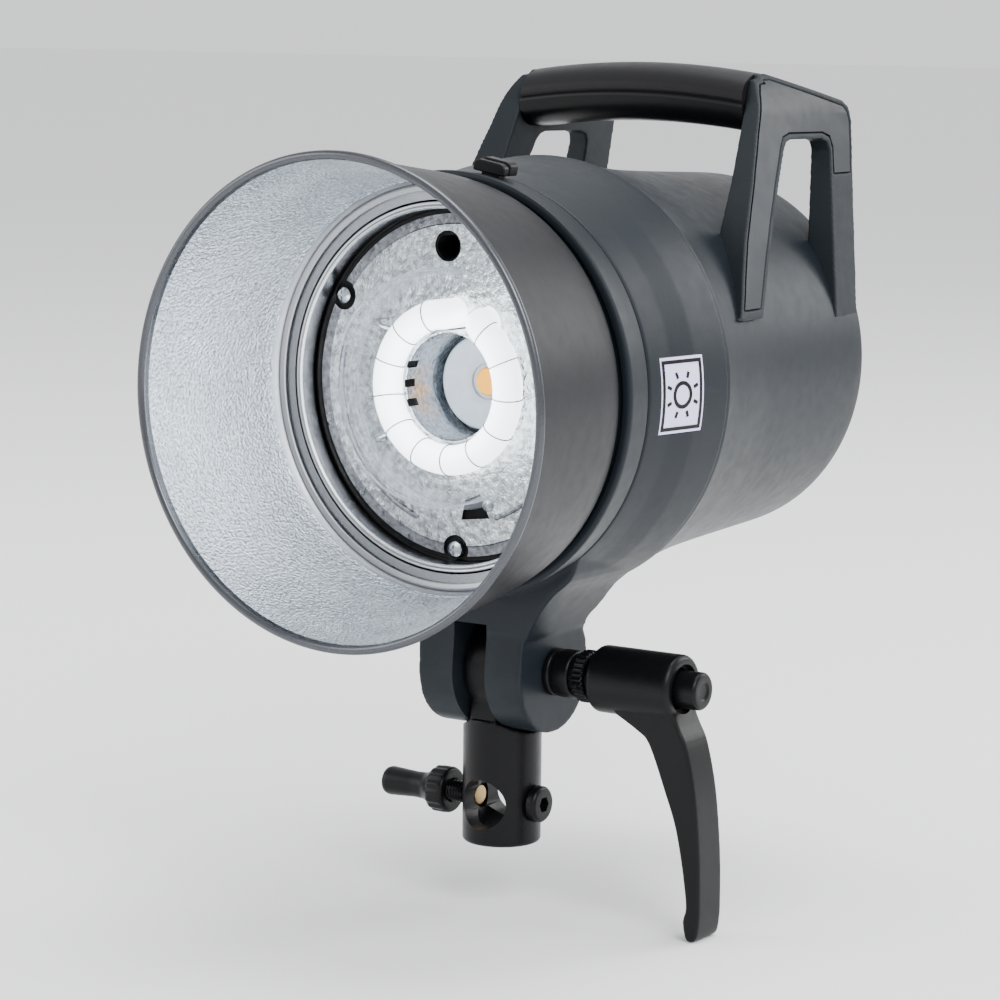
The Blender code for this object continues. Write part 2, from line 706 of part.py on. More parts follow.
def grip_bottom():
    """Hard lower shell of the grip."""
    front, rear = GRIP_FRONT_Y, GRIP_REAR_Y
    profile = [(front + 0.8, -5.2), (front + 4, -8.4), (front + 10, -10.4), (rear - 10, -10.4),
               (rear - 4, -8.4), (rear - 0.8, -5.2), (rear, -GAP), (front, -GAP)]
    return grip_section("grip_bottom", profile, black())


# ---------------------------------------------------------------- lamp end

def umbrella_hole(name, low, high, material):
    """Cutter for the passage of the umbrella tube."""
    return rod(name, UMBRELLA_OUTER + GAP, low, high, Y_AXIS, (UMBRELLA_X, 0, UMBRELLA_Z), 14, material)


def plate_carrier():
    """Black ring inside the front shell that carries the front plate."""
    face = PLATE_Y + 1.6
    back = -14.0
    step_y = SEAM_FRONT_Y + 0.5
    carrier = turned("plate_carrier", [(50, face), (60.5, face), (63.6, face + 0.8), (63.6, step_y),
                                       (67.0, step_y), (67.0, back), (50, back)], Y_AXIS, LAMP, 32, black())
    for index, place in enumerate(PLATE_SCREWS):
        x, z = around_lamp(*place)
        cut(carrier, rod(f"cutter_carrier_hole_{index}", 1.5 + GAP, face - 2, face + 7, Y_AXIS, (x, 0, z), 8,
                         black()))
    cut(carrier, umbrella_hole("cutter_carrier_tube", -30, 0, black()))
    return carrier


def front_plate():
    """Dished silver plate behind the flash tube, with notches for its screws."""
    thick = 1.2
    dish = 31.0
    inner = CUP_RADIUS + 2.0
    plate = turned("front_plate", [(inner, PLATE_Y + 2 * thick), (inner, PLATE_Y + thick), (dish, PLATE_Y),
                                   (PLATE_RADIUS, PLATE_Y), (PLATE_RADIUS, PLATE_Y + thick),
                                   (dish, PLATE_Y + thick)], Y_AXIS, LAMP, 40, silver())
    low, high = PLATE_Y - 4, PLATE_Y + 6
    for index, place in enumerate(PLATE_SCREWS):
        x, z = around_lamp(*place)
        cut(plate, rod(f"cutter_notch_{index}", 3.8, low, high, Y_AXIS, (x, 0, z), 12, silver()))
    for index, degrees in enumerate(TUBE_END_DEGREES):
        x, z = around_lamp(TUBE_RING_RADIUS, degrees)
        cut(plate, rod(f"cutter_tube_end_{index}", TUBE_RADIUS + 0.6, low, high, Y_AXIS, (x, 0, z), 12,
                       silver()))
    cut(plate, umbrella_hole("cutter_plate_tube", low, high, silver()))
    return plate


def plate_screw(index):
    """Cross-head screw that holds the front plate through a notch in its edge."""
    x, z = around_lamp(*PLATE_SCREWS[index])
    face = PLATE_Y - 1.3
    outline = [(0, face), (2.3, face + 0.2), (2.9, face + 1.0), (2.9, face + 2.6), (1.5, face + 2.6),
               (1.5, face + 8.6), (0, face + 8.6)]
    return turned(f"plate_screw_{index + 1}", outline, Y_AXIS, (x, 0, z), 10, steel())


def glass_dome():
    """Clear protective dome over the flash tube: a ribbed wall, a rounded shoulder and a shallow crown."""
    seat = PLATE_Y - GAP
    outside = [(41.4, seat), (41.4, seat - 1.6), (38.9, seat - 2.6), (38.5, -42.0), (38.9, -44.0),
               (38.2, -47.0), (35.4, -49.8), (27, -51.6), (14, -52.8), (0, -53.2)]
    inside = [(0, -51.4), (14, -51.0), (26, -49.9), (34.0, -48.2), (36.4, -45.8), (36.6, -42.0),
              (36.6, seat)]
    return turned("glass_dome", outside + inside, Y_AXIS, LAMP, 32, clear_glass())


def flash_tube():
    """Ring-shaped xenon tube whose ends turn back through the front plate."""
    bend = 6.0
    depth = SOCKET_FACE_Y + 8.0
    start, end = TUBE_END_DEGREES[1], TUBE_END_DEGREES[0] + 360
    steps = 28
    first = around_lamp(TUBE_RING_RADIUS, start)
    last = around_lamp(TUBE_RING_RADIUS, end)
    points = [(first[0], depth, first[1]), (first[0], TUBE_Y + bend, first[1])]
    points += quarter_bend(first, start, bend, 1)
    trim = math.degrees(bend / TUBE_RING_RADIUS)
    for step in range(steps + 1):
        degrees = start + trim + (end - start - 2 * trim) * step / steps
        x, z = around_lamp(TUBE_RING_RADIUS, degrees)
        points.append((x, TUBE_Y, z))
    points += reversed(quarter_bend(last, end, bend, -1))
    points += [(last[0], TUBE_Y + bend, last[1]), (last[0], depth, last[1])]
    return bent_rod("flash_tube", points, TUBE_RADIUS, 2, finish_of("flash_tube", (1, 1, 1), 0.3, 0.0, 4.0))


def quarter_bend(place, degrees, bend, direction):
    """Points of the bend that turns a tube end into the ring, without its two ends."""
    angle = math.radians(degrees)
    along = Vector((-math.sin(angle), 0, math.cos(angle))) * direction
    points = []
    for step in (1, 2):
        turn = math.radians(30 * step)
        offset = along * bend * (1 - math.cos(turn))
        points.append((place[0] + offset.x, TUBE_Y + bend - bend * math.sin(turn), place[1] + offset.z))
    return points


def tube_socket():
    """Ceramic ring behind the front plate that the flash tube plugs into."""
    face = SOCKET_FACE_Y
    back = face + 10.1
    inner = CUP_RADIUS + 1.0
    socket = turned("tube_socket", [(inner, face), (46, face), (46, back), (inner, back)], Y_AXIS, LAMP, 24,
                    ceramic())
    for index, degrees in enumerate(TUBE_END_DEGREES):
        x, z = around_lamp(TUBE_RING_RADIUS, degrees)
        cut(socket, rod(f"cutter_socket_{index}", TUBE_RADIUS + 0.5, face - 3, face + 8.4, Y_AXIS, (x, 0, z),
                        10, ceramic()))
    cut(socket, umbrella_hole("cutter_socket_tube", -30, 0, ceramic()))
    return socket


def inner_cup():
    """Bright cup in the middle of the flash tube, which holds the modelling lamp."""
    floor = -8.4
    wall = 0.8
    outline = [(0, floor), (CUP_RADIUS - 1.4, floor), (CUP_RADIUS, floor - 1.6), (CUP_RADIUS, CUP_FRONT_Y),
               (CUP_RADIUS - wall, CUP_FRONT_Y), (CUP_RADIUS - wall, floor - 2.0),
               (CUP_RADIUS - 1.8, floor - 1.0), (0, floor - 1.0)]
    return turned("inner_cup", outline, Y_AXIS, LAMP, 24, silver())


def led_board():
    """Modelling-lamp board with its round yellow emitter raised in the middle."""
    outline = [(0, LED_Y), (4.8, LED_Y), (5.0, LED_Y + 0.8), (15.3, LED_Y + 0.8), (15.3, LED_Y + 1.7),
               (0, LED_Y + 1.7)]
    return turned("led_board", outline, Y_AXIS, LAMP, 20, finish_of("led", (0.9, 0.7, 0.3), 0.4, 0.0, 1.5))


def led_reflector():
    """White cone ring around the modelling lamp."""
    back = LED_Y + 0.4
    outline = [(6.2, back), (15.9, back), (15.9, back - 3.6), (14.6, back - 4.2), (8.2, back - 2.2),
               (6.2, back - 0.7)]
    return turned("led_reflector", outline, Y_AXIS, LAMP, 20, ceramic())


def led_heatsink():
    """Finned block behind the modelling lamp."""
    half = 20.0
    pitch = 9.0
    face, root, tips = -8.0, -4.0, 12.0
    outline = [(-half, face)]
    for index in range(5):
        left = -half + pitch * index
        outline += [(left, tips), (left + 4, tips), (left + 4, root), (left + pitch, root)]
    outline = outline[:-2] + [(half, face)]
    return extruded("led_heatsink", outline, Z_AXIS, LAMP_Z - half, LAMP_Z + half,
                    finish_of("aluminium", (0.5, 0.5, 0.52), 0.4, 1.0))


def umbrella_tube():
    """Thin tube right through the head that takes an umbrella's shaft."""
    return tube("umbrella_tube", UMBRELLA_OUTER, UMBRELLA_BORE, PLATE_Y + 0.6, PANEL_BACK_Y + 1.2, Y_AXIS,
                (UMBRELLA_X, 0, UMBRELLA_Z), 16, black_metal())


def release_slider():
    """Sprung slide on top of the front ring that frees the reflector."""
    slider = round_lamp_block("release_slider", (-3.9, -29.0, LAMP_Z + 65.4), (3.9, -25.2, LAMP_Z + 72.4),
                              RELEASE_DEGREES, black())
    cap = round_lamp_block("cutter_slider_cap", (-6.4, -30.6, LAMP_Z + 71.9), (6.4, -22.2, LAMP_Z + 76.6),
                           RELEASE_DEGREES, black(), 0.8)
    join(slider, cap)
    return slider


# ---------------------------------------------------------------- inside the head

def chassis():
    """Sheet that carries the power parts."""
    return block("chassis", (-46, 22, LAMP_Z - 21.4), (46, 104, LAMP_Z - 20), steel())


def capacitor(name, side):
    """Flash capacitor, lying under the chassis."""
    centre = (side * 20.0, 0, LAMP_Z - 40.0)
    outline = [(0, 26), (15.6, 26), (17, 27.4), (17, 88), (16, 89.5), (13.5, 89), (0, 89)]
    return turned(name, outline, Y_AXIS, centre, 16, finish_of("capacitor", (0.03, 0.05, 0.16), 0.35))


def main_board():
    """Flash generator board, above the chassis."""
    return block("main_board", (-44, 26, LAMP_Z - 15), (44, 102, LAMP_Z - 13.4), circuit())


def transformer():
    """Charging transformer on the main board."""
    core = block("transformer", (-17, 38, LAMP_Z - 13.0), (17, 60, LAMP_Z + 14),
                 finish_of("ferrite", (0.06, 0.055, 0.05), 0.7))
    winding = block("cutter_winding", (-12, 32, LAMP_Z - 9), (12, 66, LAMP_Z + 10),
                    finish_of("tape", (0.75, 0.6, 0.1), 0.5), 3.0)
    join(core, winding)
    return core


def fan_frame():
    """Square frame of the cooling fan, with a motor seat on four spokes across its back."""
    half = FAN_HALF
    reach = half - 1
    back = FAN_Y + FAN_DEPTH
    frame = block("fan_frame", (-half, FAN_Y, LAMP_Z - half), (half, back, LAMP_Z + half), black())
    cut(frame, rod("cutter_fan_bore", half - 1.8, FAN_Y - 1, back + 1, Y_AXIS, LAMP, 28, black()))
    join(frame,
         block("cutter_spokes_across", (-reach, back - 2.0, LAMP_Z - 1.5), (reach, back - 0.2, LAMP_Z + 1.5),
               black()),
         block("cutter_spokes_up", (-1.4, back - 1.9, LAMP_Z - reach), (1.4, back - 0.3, LAMP_Z + reach),
               black()),
         rod("cutter_motor_seat", 9.0, back - 1.8, back - 0.4, Y_AXIS, LAMP, 14, black()))
    return frame


def fan_rotor():
    """Fan wheel: a hub with seven pitched blades."""
    blades = 7
    rotor = rod("fan_rotor", 9.0, FAN_Y + 1.2, FAN_Y + 8.6, Y_AXIS, LAMP, 3 * blades, black())
    pitch = Matrix.Rotation(math.radians(32), 4, "X")
    place = Matrix.Translation(Vector((0, FAN_Y + 4.9, LAMP_Z)) * MM)
    for index in range(blades):
        blade = block(f"cutter_blade_{index}", (7.0, -3.4, -0.6), (20.6, 3.4, 0.6), black())
        spin = Matrix.Rotation(math.radians(-360 * index / blades), 4, "Y")
        blade.matrix_world = place @ spin @ pitch
        join(rotor, blade)
    return rotor


# ---------------------------------------------------------------- rear controls

def display_window():
    """Smoked window over the display."""
    return block("display_window", (-30, PANEL_FRONT_Y - 1, LAMP_Z + 14),
                 (30, PANEL_BACK_Y + GAP, LAMP_Z + 36),
                 finish_of("smoked_window", (0.01, 0.012, 0.015), 0.08))


def control_knob():
    """Rotary power knob with its shaft."""
    back = PANEL_BACK_Y
    outline = [(0, PANEL_FRONT_Y - 6), (3.4, PANEL_FRONT_Y - 6), (3.4, back + 0.8), (12.6, back + 0.8),
               (12.8, back + 2), (12.0, back + 11), (11.0, back + 12), (0, back + 12)]
    return turned("control_knob", outline, Y_AXIS, (0, 0, CONTROL_Z), 20, black())


def menu_button(index):
    """Round push button on the control panel."""
    front, back = PANEL_FRONT_Y - 2, PANEL_BACK_Y + 2.2
    outline = [(0, front), (4.4, front), (4.4, back - 0.6), (3.8, back), (0, back)]
    return turned(f"menu_button_{index + 1}", outline, Y_AXIS, (BUTTON_PLACES[index], 0, CONTROL_Z), 12,
                  finish_of("button_grey", (0.2, 0.21, 0.22), 0.5))


def mains_inlet():
    """Three-pin appliance inlet, open towards the rear."""
    back = PANEL_BACK_Y
    inlet = block("mains_inlet", (-29, back - 20, LAMP_Z - 46.5), (-1, back + 1.5, LAMP_Z - 25.5),
                  black())
    cut(inlet, block("cutter_inlet_well", (-27, back - 16, LAMP_Z - 44), (-3, back + 4, LAMP_Z - 28),
                     black()))
    for index, (x, z) in enumerate(((-22, -38), (-15, -33.5), (-8, -38))):
        pin = block(f"cutter_pin_{index}", (x - 1, back - 17, LAMP_Z + z - 2),
                    (x + 1, back - 2, LAMP_Z + z + 2),
                    black())
        join(inlet, pin)
    return inlet


def rocker_switch():
    """Mains rocker, resting in its off position."""
    back = PANEL_BACK_Y
    middle = LAMP_Z - 36
    outline = [(back + 3.6, middle + 9.4), (back + 1.0, middle), (back + 0.6, middle - 9.4),
               (back - 6, middle - 6), (back - 6, middle + 6)]
    return extruded("rocker_switch", outline, X_AXIS, 5.0, 17.0, finish_of("rocker", (0.3, 0.02, 0.02), 0.4))


def fuse_cap():
    """Screw cap of the fuse holder, with its holder body."""
    x, z = FUSE
    back = PANEL_BACK_Y
    outline = [(0, back - 22), (5.8, back - 22), (5.8, back + GAP), (7.4, back + GAP), (7.0, back + 4),
               (0, back + 4)]
    cap = turned("fuse_cap", outline, Y_AXIS, (x, 0, z), 14, black())
    cut(cap, block("cutter_coin_slot", (x - 5, back + 2.4, z - 0.7), (x + 5, back + 6, z + 0.7), black()))
    return cap


def sync_socket():
    """Small jack socket for the sync lead."""
    x, z = SYNC
    back = PANEL_BACK_Y
    outline = [(1.8, back - 12), (4.0, back - 12), (4.0, back + GAP), (5.6, back + GAP), (5.2, back + 1.8),
               (1.8, back + 1.8)]
    return turned("sync_socket", outline, Y_AXIS, (x, 0, z), 12, steel())


# ---------------------------------------------------------------- reflector

def reflector_bell():
    """Short spun reflector with a rolled rim and a flat base."""
    bead_radius = 1.5
    bead_y = REFLECTOR_FRONT_Y + bead_radius
    bead = [(REFLECTOR_RADIUS - bead_radius + bead_radius * math.cos(a), bead_y + bead_radius * math.sin(a))
            for a in (math.radians(d) for d in (200, 255, 310, 0, 50))]
    back = REFLECTOR_BACK_Y + 0.6
    outside = bead + [(77.6, -90), (75.0, -70.5), (72.4, -51), (70.9, -43), (69.6, -38.8), (67.0, -36.0),
                      (65.5, back)]
    inside = [(62.1, back), (62.1, back - BELL_WALL), (65.5, back - BELL_WALL), (66.4, -37.2), (68.4, -39.6),
              (69.7, -43.4), (71.2, -51.3), (73.8, -70.7), (76.4, -90)]
    return turned("reflector_bell", outside + inside, Y_AXIS, LAMP, 40,
                  finish_of("spun_metal", (0.3, 0.31, 0.33), 0.35, 1.0))


def reflector_collar():
    """Bayonet collar pressed into the reflector's base, with three lugs."""
    front, back = REFLECTOR_BACK_Y - 1.4, PLATE_Y - 1.4
    outline = [(COLLAR_BORE, front), (61.6, front - 0.4), (61.6, back), (COLLAR_BORE + 0.2, back)]
    collar = turned("reflector_collar", outline, Y_AXIS, LAMP, 40, silver())
    for index in range(3):
        lug = round_lamp_block(f"cutter_lug_{index}", (-4.5, back - 1.7, LAMP_Z + 60.6),
                               (4.5, back + 0.1, LAMP_Z + 63.8), 70 + 120 * index, silver())
        join(collar, lug)
    return collar


# ---------------------------------------------------------------- assembly

def build():
    clear_scene()
    spigot_socket()
    blank_screw()
    friction_washer("friction_washer_left", -1)
    friction_washer("friction_washer_right", 1)

    head = pivot_group("head_tilt", PIVOT, [
        front_ring(), front_shell(), badge_tile(), rear_shell(), rear_panel(),
        handle_plate("handle_plate_left", -1), handle_plate("handle_plate_right", 1),
        handle_cover("handle_cover_left", -1), handle_cover("handle_cover_right", 1),
        grip_top(), grip_bottom(),
        plate_carrier(), front_plate(), glass_dome(), flash_tube(), tube_socket(), inner_cup(),
        led_board(), led_reflector(), led_heatsink(), umbrella_tube(),
        chassis(), capacitor("capacitor_left", -1), capacitor("capacitor_right", 1),
        main_board(), transformer(), fan_frame(), display_window(), mains_inlet(), fuse_cap(),
        sync_socket(), tilt_bolt(), clamp_collar(),
    ] + [plate_screw(index) for index in range(3)] + [rear_screw(index) for index in range(PANEL_SCREWS)])

    slide = pivot_group("lock_slide", (-20, 0, CROSS_Z), [lock_pad()])
    pivot_group("lock_turn", (-20, 0, CROSS_Z), [lock_stud(), lock_knob()], slide)

    lever_things = [clamp_insert(), clamp_lever(), lever_spring()]
    lever = pivot_group("lever_turn", (50, 0, PIVOT_Z), lever_things, head)
    pivot_group("lever_push", (75, 0, PIVOT_Z), [lever_button()], lever)
    x, z = around_lamp(74, RELEASE_DEGREES)
    pivot_group("release_slide", (x, -26, z), [release_slider()], head)
    reflector = [reflector_bell(), reflector_collar()]
    pivot_group("reflector_twist", (0, REFLECTOR_BACK_Y, LAMP_Z), reflector, head)
    pivot_group("fan_spin", (0, FAN_Y, LAMP_Z), [fan_rotor()], head)
    pivot_group("knob_turn", (0, PANEL_BACK_Y, CONTROL_Z), [control_knob()], head)
    pivot_group("switch_rock", (11, PANEL_BACK_Y - 2, LAMP_Z - 36), [rocker_switch()], head)
    for index, x in enumerate(BUTTON_PLACES):
        pivot_group(f"menu_press_{index + 1}", (x, PANEL_BACK_Y, CONTROL_Z), [menu_button(index)], head)


build()
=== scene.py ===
"""Looks of the monolight strobe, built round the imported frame. Lengths in outlines are millimetres."""

import json
import math

import bmesh
import bpy
from mathutils import Matrix, Vector, noise

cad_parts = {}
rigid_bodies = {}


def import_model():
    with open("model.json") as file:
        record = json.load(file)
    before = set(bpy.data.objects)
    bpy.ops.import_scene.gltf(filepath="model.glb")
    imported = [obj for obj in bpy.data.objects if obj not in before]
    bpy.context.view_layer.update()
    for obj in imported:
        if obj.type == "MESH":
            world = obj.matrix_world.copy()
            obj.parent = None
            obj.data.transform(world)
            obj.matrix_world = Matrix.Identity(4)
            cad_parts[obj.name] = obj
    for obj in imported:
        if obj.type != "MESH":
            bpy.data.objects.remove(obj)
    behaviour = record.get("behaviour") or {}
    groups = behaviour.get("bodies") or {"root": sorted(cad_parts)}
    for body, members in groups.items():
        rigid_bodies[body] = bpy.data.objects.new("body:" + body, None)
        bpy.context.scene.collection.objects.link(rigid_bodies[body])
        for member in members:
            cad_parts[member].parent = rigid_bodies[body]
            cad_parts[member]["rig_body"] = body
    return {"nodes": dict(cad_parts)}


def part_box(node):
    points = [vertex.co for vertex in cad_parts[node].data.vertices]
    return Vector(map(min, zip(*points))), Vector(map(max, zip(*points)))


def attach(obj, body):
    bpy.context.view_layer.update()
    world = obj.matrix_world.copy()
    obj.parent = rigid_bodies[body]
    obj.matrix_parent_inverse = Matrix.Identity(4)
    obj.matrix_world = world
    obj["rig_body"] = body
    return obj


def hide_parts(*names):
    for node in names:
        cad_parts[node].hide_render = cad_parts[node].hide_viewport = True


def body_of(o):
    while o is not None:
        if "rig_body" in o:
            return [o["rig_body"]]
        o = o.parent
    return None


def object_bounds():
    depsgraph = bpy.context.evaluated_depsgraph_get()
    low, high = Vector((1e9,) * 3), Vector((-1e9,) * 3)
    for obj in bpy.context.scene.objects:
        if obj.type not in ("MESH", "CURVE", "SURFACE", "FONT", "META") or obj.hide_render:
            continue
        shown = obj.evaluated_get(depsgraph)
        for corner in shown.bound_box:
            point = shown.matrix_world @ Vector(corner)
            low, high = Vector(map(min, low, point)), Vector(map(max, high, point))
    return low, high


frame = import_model()
cad_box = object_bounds()

MM = 0.001
GAP = 0.3
X_AXIS = Vector((1, 0, 0))
Y_AXIS = Vector((0, 1, 0))
Z_AXIS = Vector((0, 0, 1))


def low(node):
    return Vector(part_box(node)[0]) / MM


def high(node):
    return Vector(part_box(node)[1]) / MM


def centre(node):
    return (low(node) + high(node)) / 2


# Places taken from the frame, mm
LAMP = Vector((0, 0, centre("glass_dome").z))
PIVOT = Vector((0, 0, centre("clamp_collar").z))
CROSS = Vector((0, 0, centre("lock_pad").z))
LAMP_Z = LAMP.z
PLATE_Y = low("front_plate").y
RING_Y = low("front_ring").y
SEAM_FRONT_Y = low("front_shell").y
BELL_FRONT_Y = low("reflector_bell").y
BELL_RADIUS = high("reflector_bell").x
TUBE_RING, TUBE_RADIUS, TUBE_ENDS = 24.2, 5.0, (64, 96)
TUBE_Y = low("flash_tube").y + TUBE_RADIUS
PANEL_BACK_Y = high("rear_panel").y
BACK = high("reflector_bell").y
REAR_Y = high("rear_shell").y

# Degrees round the lamp axis
SLIDER_AT = 80
PLATE_NOTCH_AT = 280


# ---------------------------------------------------------------- materials

def nodes_of(name):
    material = bpy.data.materials.new(name)
    material.use_nodes = True
    tree = material.node_tree
    return material, tree, tree.nodes["Principled BSDF"]


def place_coordinates(tree, stretch=(1, 1, 1)):
    """Object coordinates in metres, stretched for brushed grain."""
    source = tree.nodes.new("ShaderNodeTexCoord")
    mapping = tree.nodes.new("ShaderNodeMapping")
    mapping.inputs["Scale"].default_value = stretch
    tree.links.new(source.outputs["Object"], mapping.inputs["Vector"])
    return mapping.outputs["Vector"]


def noise_node(tree, where, scale, detail=3.0, roughness=0.55):
    texture = tree.nodes.new("ShaderNodeTexNoise")
    texture.inputs["Scale"].default_value = scale
    texture.inputs["Detail"].default_value = detail
    texture.inputs["Roughness"].default_value = roughness
    tree.links.new(where, texture.inputs["Vector"])
    return texture.outputs["Fac"]


def spread(tree, value, from_low, from_high, to_low, to_high):
    node = tree.nodes.new("ShaderNodeMapRange")
    for socket, number in zip(("From Min", "From Max", "To Min", "To Max"), (from_low, from_high, to_low,
            to_high)):
        node.inputs[socket].default_value = number
    tree.links.new(value, node.inputs["Value"])
    return node.outputs["Result"]


def blend_colour(tree, factor, first, second):
    """Mix of two colours or sockets by a factor socket."""
    node = tree.nodes.new("ShaderNodeMix")
    node.data_type = "RGBA"
    tree.links.new(factor, node.inputs["Factor"])
    for name, colour in (("A", first), ("B", second)):
        socket = [s for s in node.inputs if s.name == name and s.type == "RGBA"][0]
        if isinstance(colour, tuple):
            socket.default_value = (*colour, 1.0)
        else:
            tree.links.new(colour, socket)
    return [s for s in node.outputs if s.type == "RGBA"][0]


def bump_chain(tree, shader, heights):
    """Bumps on top of each other from (height socket, strength, distance) rows."""
    normal = None
    for height, strength, distance in heights:
        bump = tree.nodes.new("ShaderNodeBump")
        bump.inputs["Strength"].default_value = strength
        bump.inputs["Distance"].default_value = distance
        tree.links.new(height, bump.inputs["Height"])
        if normal:
            tree.links.new(normal, bump.inputs["Normal"])
        normal = bump.outputs["Normal"]
    tree.links.new(normal, shader.inputs["Normal"])


def moulded(name, colour, roughness, grain=2600.0, depth=0.35, edge=(0.09, 0.1, 0.11), metallic=0.0,
            coat=0.0, sheen=0.0, smear=0.035, gloss=0.17):
    """Moulded plastic or painted metal: fine grain, faint smears, rubbed edges."""
    material, tree, shader = nodes_of(name)
    where = place_coordinates(tree)
    fine = noise_node(tree, where, grain, 2.0)
    broad = noise_node(tree, where, 28.0, 4.0)
    middle = noise_node(tree, where, 210.0, 3.0)
    darker = tuple(part * 0.94 for part in colour)
    brighter = tuple(part * 1.06 for part in colour)
    base = blend_colour(tree, spread(tree, broad, 0.35, 0.65, 0, 1), darker, brighter)
    geometry = tree.nodes.new("ShaderNodeNewGeometry")
    worn = spread(tree, geometry.outputs["Pointiness"], 0.52, 0.6, 0.0, 0.35)
    rubbed = tree.nodes.new("ShaderNodeMath")
    rubbed.operation = "MULTIPLY"
    tree.links.new(worn, rubbed.inputs[0])
    tree.links.new(spread(tree, middle, 0.4, 0.62, 0.2, 1.0), rubbed.inputs[1])
    base = blend_colour(tree, rubbed.outputs[0], base, edge)
    tree.links.new(base, shader.inputs["Base Color"])
    tree.links.new(spread(tree, middle, 0.3, 0.7, roughness - smear, roughness + smear),
                   shader.inputs["Roughness"])
    shader.inputs["Metallic"].default_value = metallic
    shader.inputs["Coat Weight"].default_value = coat
    shader.inputs["Specular IOR Level"].default_value = gloss
    shader.inputs["Coat Roughness"].default_value = 0.25
    shader.inputs["Sheen Weight"].default_value = sheen
    shader.inputs["Sheen Roughness"].default_value = 0.4
    bump_chain(tree, shader, [(fine, depth, 0.00012), (middle, 0.06, 0.0004)])
    return material


def metal(name, colour, roughness, stretch=(1, 1, 1), grain=900.0, depth=0.2, cells=0.0,
          cell_scale=600.0, dark=0.8, distance=0.0003, ripple=0.0, ripple_scale=70.0):
    """Bare metal: brushed or rolled grain, optional hammered cells and slow ripples."""
    material, tree, shader = nodes_of(name)
    where = place_coordinates(tree, stretch)
    plain = place_coordinates(tree)
    fine = noise_node(tree, where, grain, 4.0, 0.6)
    broad = noise_node(tree, plain, 60.0, 3.0)
    heights = [(fine, depth, distance * 0.4)]
    tint = spread(tree, fine, 0.3, 0.7, 0, 1)
    if cells:
        lumps = noise_node(tree, plain, cell_scale, 2.0, 0.5)
        heights.append((lumps, cells, distance))
        tint = spread(tree, lumps, 0.32, 0.68, 0, 1)
    if ripple:
        heights.append((noise_node(tree, plain, ripple_scale, 1.0), ripple, 0.002))
    base = blend_colour(tree, tint, tuple(part * dark for part in colour), colour)
    tree.links.new(base, shader.inputs["Base Color"])
    tree.links.new(spread(tree, broad, 0.3, 0.7, roughness * 0.8, roughness * 1.25),
                   shader.inputs["Roughness"])
    shader.inputs["Metallic"].default_value = 1.0
    bump_chain(tree, shader, heights)
    return material


def lit(name, colour, roughness, glow, glow_colour, mottle=0.12, scale=300.0):
    """A part with an emission glow of its own; on the flash tube and the LED, which are not lit, this glow is
    painted light.
    """
    material, tree, shader = nodes_of(name)
    where = place_coordinates(tree)
    cloud = noise_node(tree, where, scale, 3.0)
    darker = tuple(part * (1 - mottle) for part in colour)
    base = blend_colour(tree, spread(tree, cloud, 0.35, 0.65, 0, 1), darker, colour)
    tree.links.new(base, shader.inputs["Base Color"])
    glowing = blend_colour(tree, spread(tree, cloud, 0.35, 0.65, 0, 1), tuple(part * (1 - mottle)
        for part in glow_colour), glow_colour)
    tree.links.new(glowing, shader.inputs["Emission Color"])
    shader.inputs["Emission Strength"].default_value = glow
    shader.inputs["Roughness"].default_value = roughness
    bump_chain(tree, shader, [(cloud, 0.05, 0.0002)])
    return material


def clear(name, tint, body, rim, roughness=0.04):
    """Thin clear glass: nearly invisible face on; towards its edges the pale colour turns opaque, a painted
    reflection.
    """
    material, tree, shader = nodes_of(name)
    weight = tree.nodes.new("ShaderNodeLayerWeight")
    weight.inputs["Blend"].default_value = 0.5
    where = place_coordinates(tree)
    wave = noise_node(tree, where, 55.0, 2.0)
    # Painted reflection: opacity of the pale tint rises from face-on to grazing angles.
    edge = spread(tree, weight.outputs["Facing"], 0.25, 1.0, body, rim)
    tree.links.new(edge, shader.inputs["Alpha"])
    base = blend_colour(tree, wave, tuple(part * 0.93 for part in tint), tint)
    tree.links.new(base, shader.inputs["Base Color"])
    shader.inputs["Roughness"].default_value = roughness
    shader.inputs["IOR"].default_value = 1.5
    shader.inputs["Specular IOR Level"].default_value = 0.9
    bump_chain(tree, shader, [(wave, 0.08, 0.0008)])
    return material


SLATE = moulded("m_slate", (0.0098, 0.0138, 0.0178), 0.4, 2400.0, 0.3, (0.035, 0.043, 0.05))
SLATE_SMOOTH = moulded("m_slate_smooth", (0.0105, 0.0138, 0.0178), 0.36, 3200.0, 0.12, (0.03, 0.036, 0.043))
SLATE_ROUGH = moulded("m_slate_rough", (0.0115, 0.0155, 0.019), 0.52, 1500.0, 0.6, (0.03, 0.037, 0.042))
BLACK = moulded("m_black_plastic", (0.0032, 0.0033, 0.0038), 0.34, 2200.0, 0.3, (0.012, 0.012, 0.014))
BLACK_ROUGH = moulded("m_black_rough", (0.0045, 0.0045, 0.0052), 0.5, 1700.0, 0.6, (0.014, 0.014, 0.016))
GRIP = moulded("m_grip", (0.0058, 0.0055, 0.0068), 0.44, 1800.0, 0.35, (0.014, 0.014, 0.016), sheen=0.05)
COATED = moulded("m_powder_coat", (0.0036, 0.0036, 0.0043), 0.34, 1300.0, 0.5, (0.02, 0.02, 0.024),
                 metallic=0.1)
SATIN = moulded("m_satin_metal", (0.006, 0.006, 0.007), 0.26, 2600.0, 0.18, (0.06, 0.06, 0.066),
                metallic=0.4)
BELL_OUT = moulded("m_bell_outside", (0.0095, 0.0105, 0.0125), 0.4, 1500.0, 0.2, (0.03, 0.03, 0.034),
                   metallic=0.1, smear=0.03)
BELL_RIM = metal("m_bell_rim", (0.10, 0.105, 0.115), 0.28, grain=1500.0, depth=0.12)
BELL_IN = metal("m_bell_inside", (0.72, 0.765, 0.81), 0.38, grain=2600.0, depth=0.3, cells=1.0,
                cell_scale=1000.0, dark=0.5, distance=0.0005)
FLANGE = metal("m_flange", (0.42, 0.43, 0.45), 0.32, (1, 60, 1), 700.0, 0.25, dark=0.7)
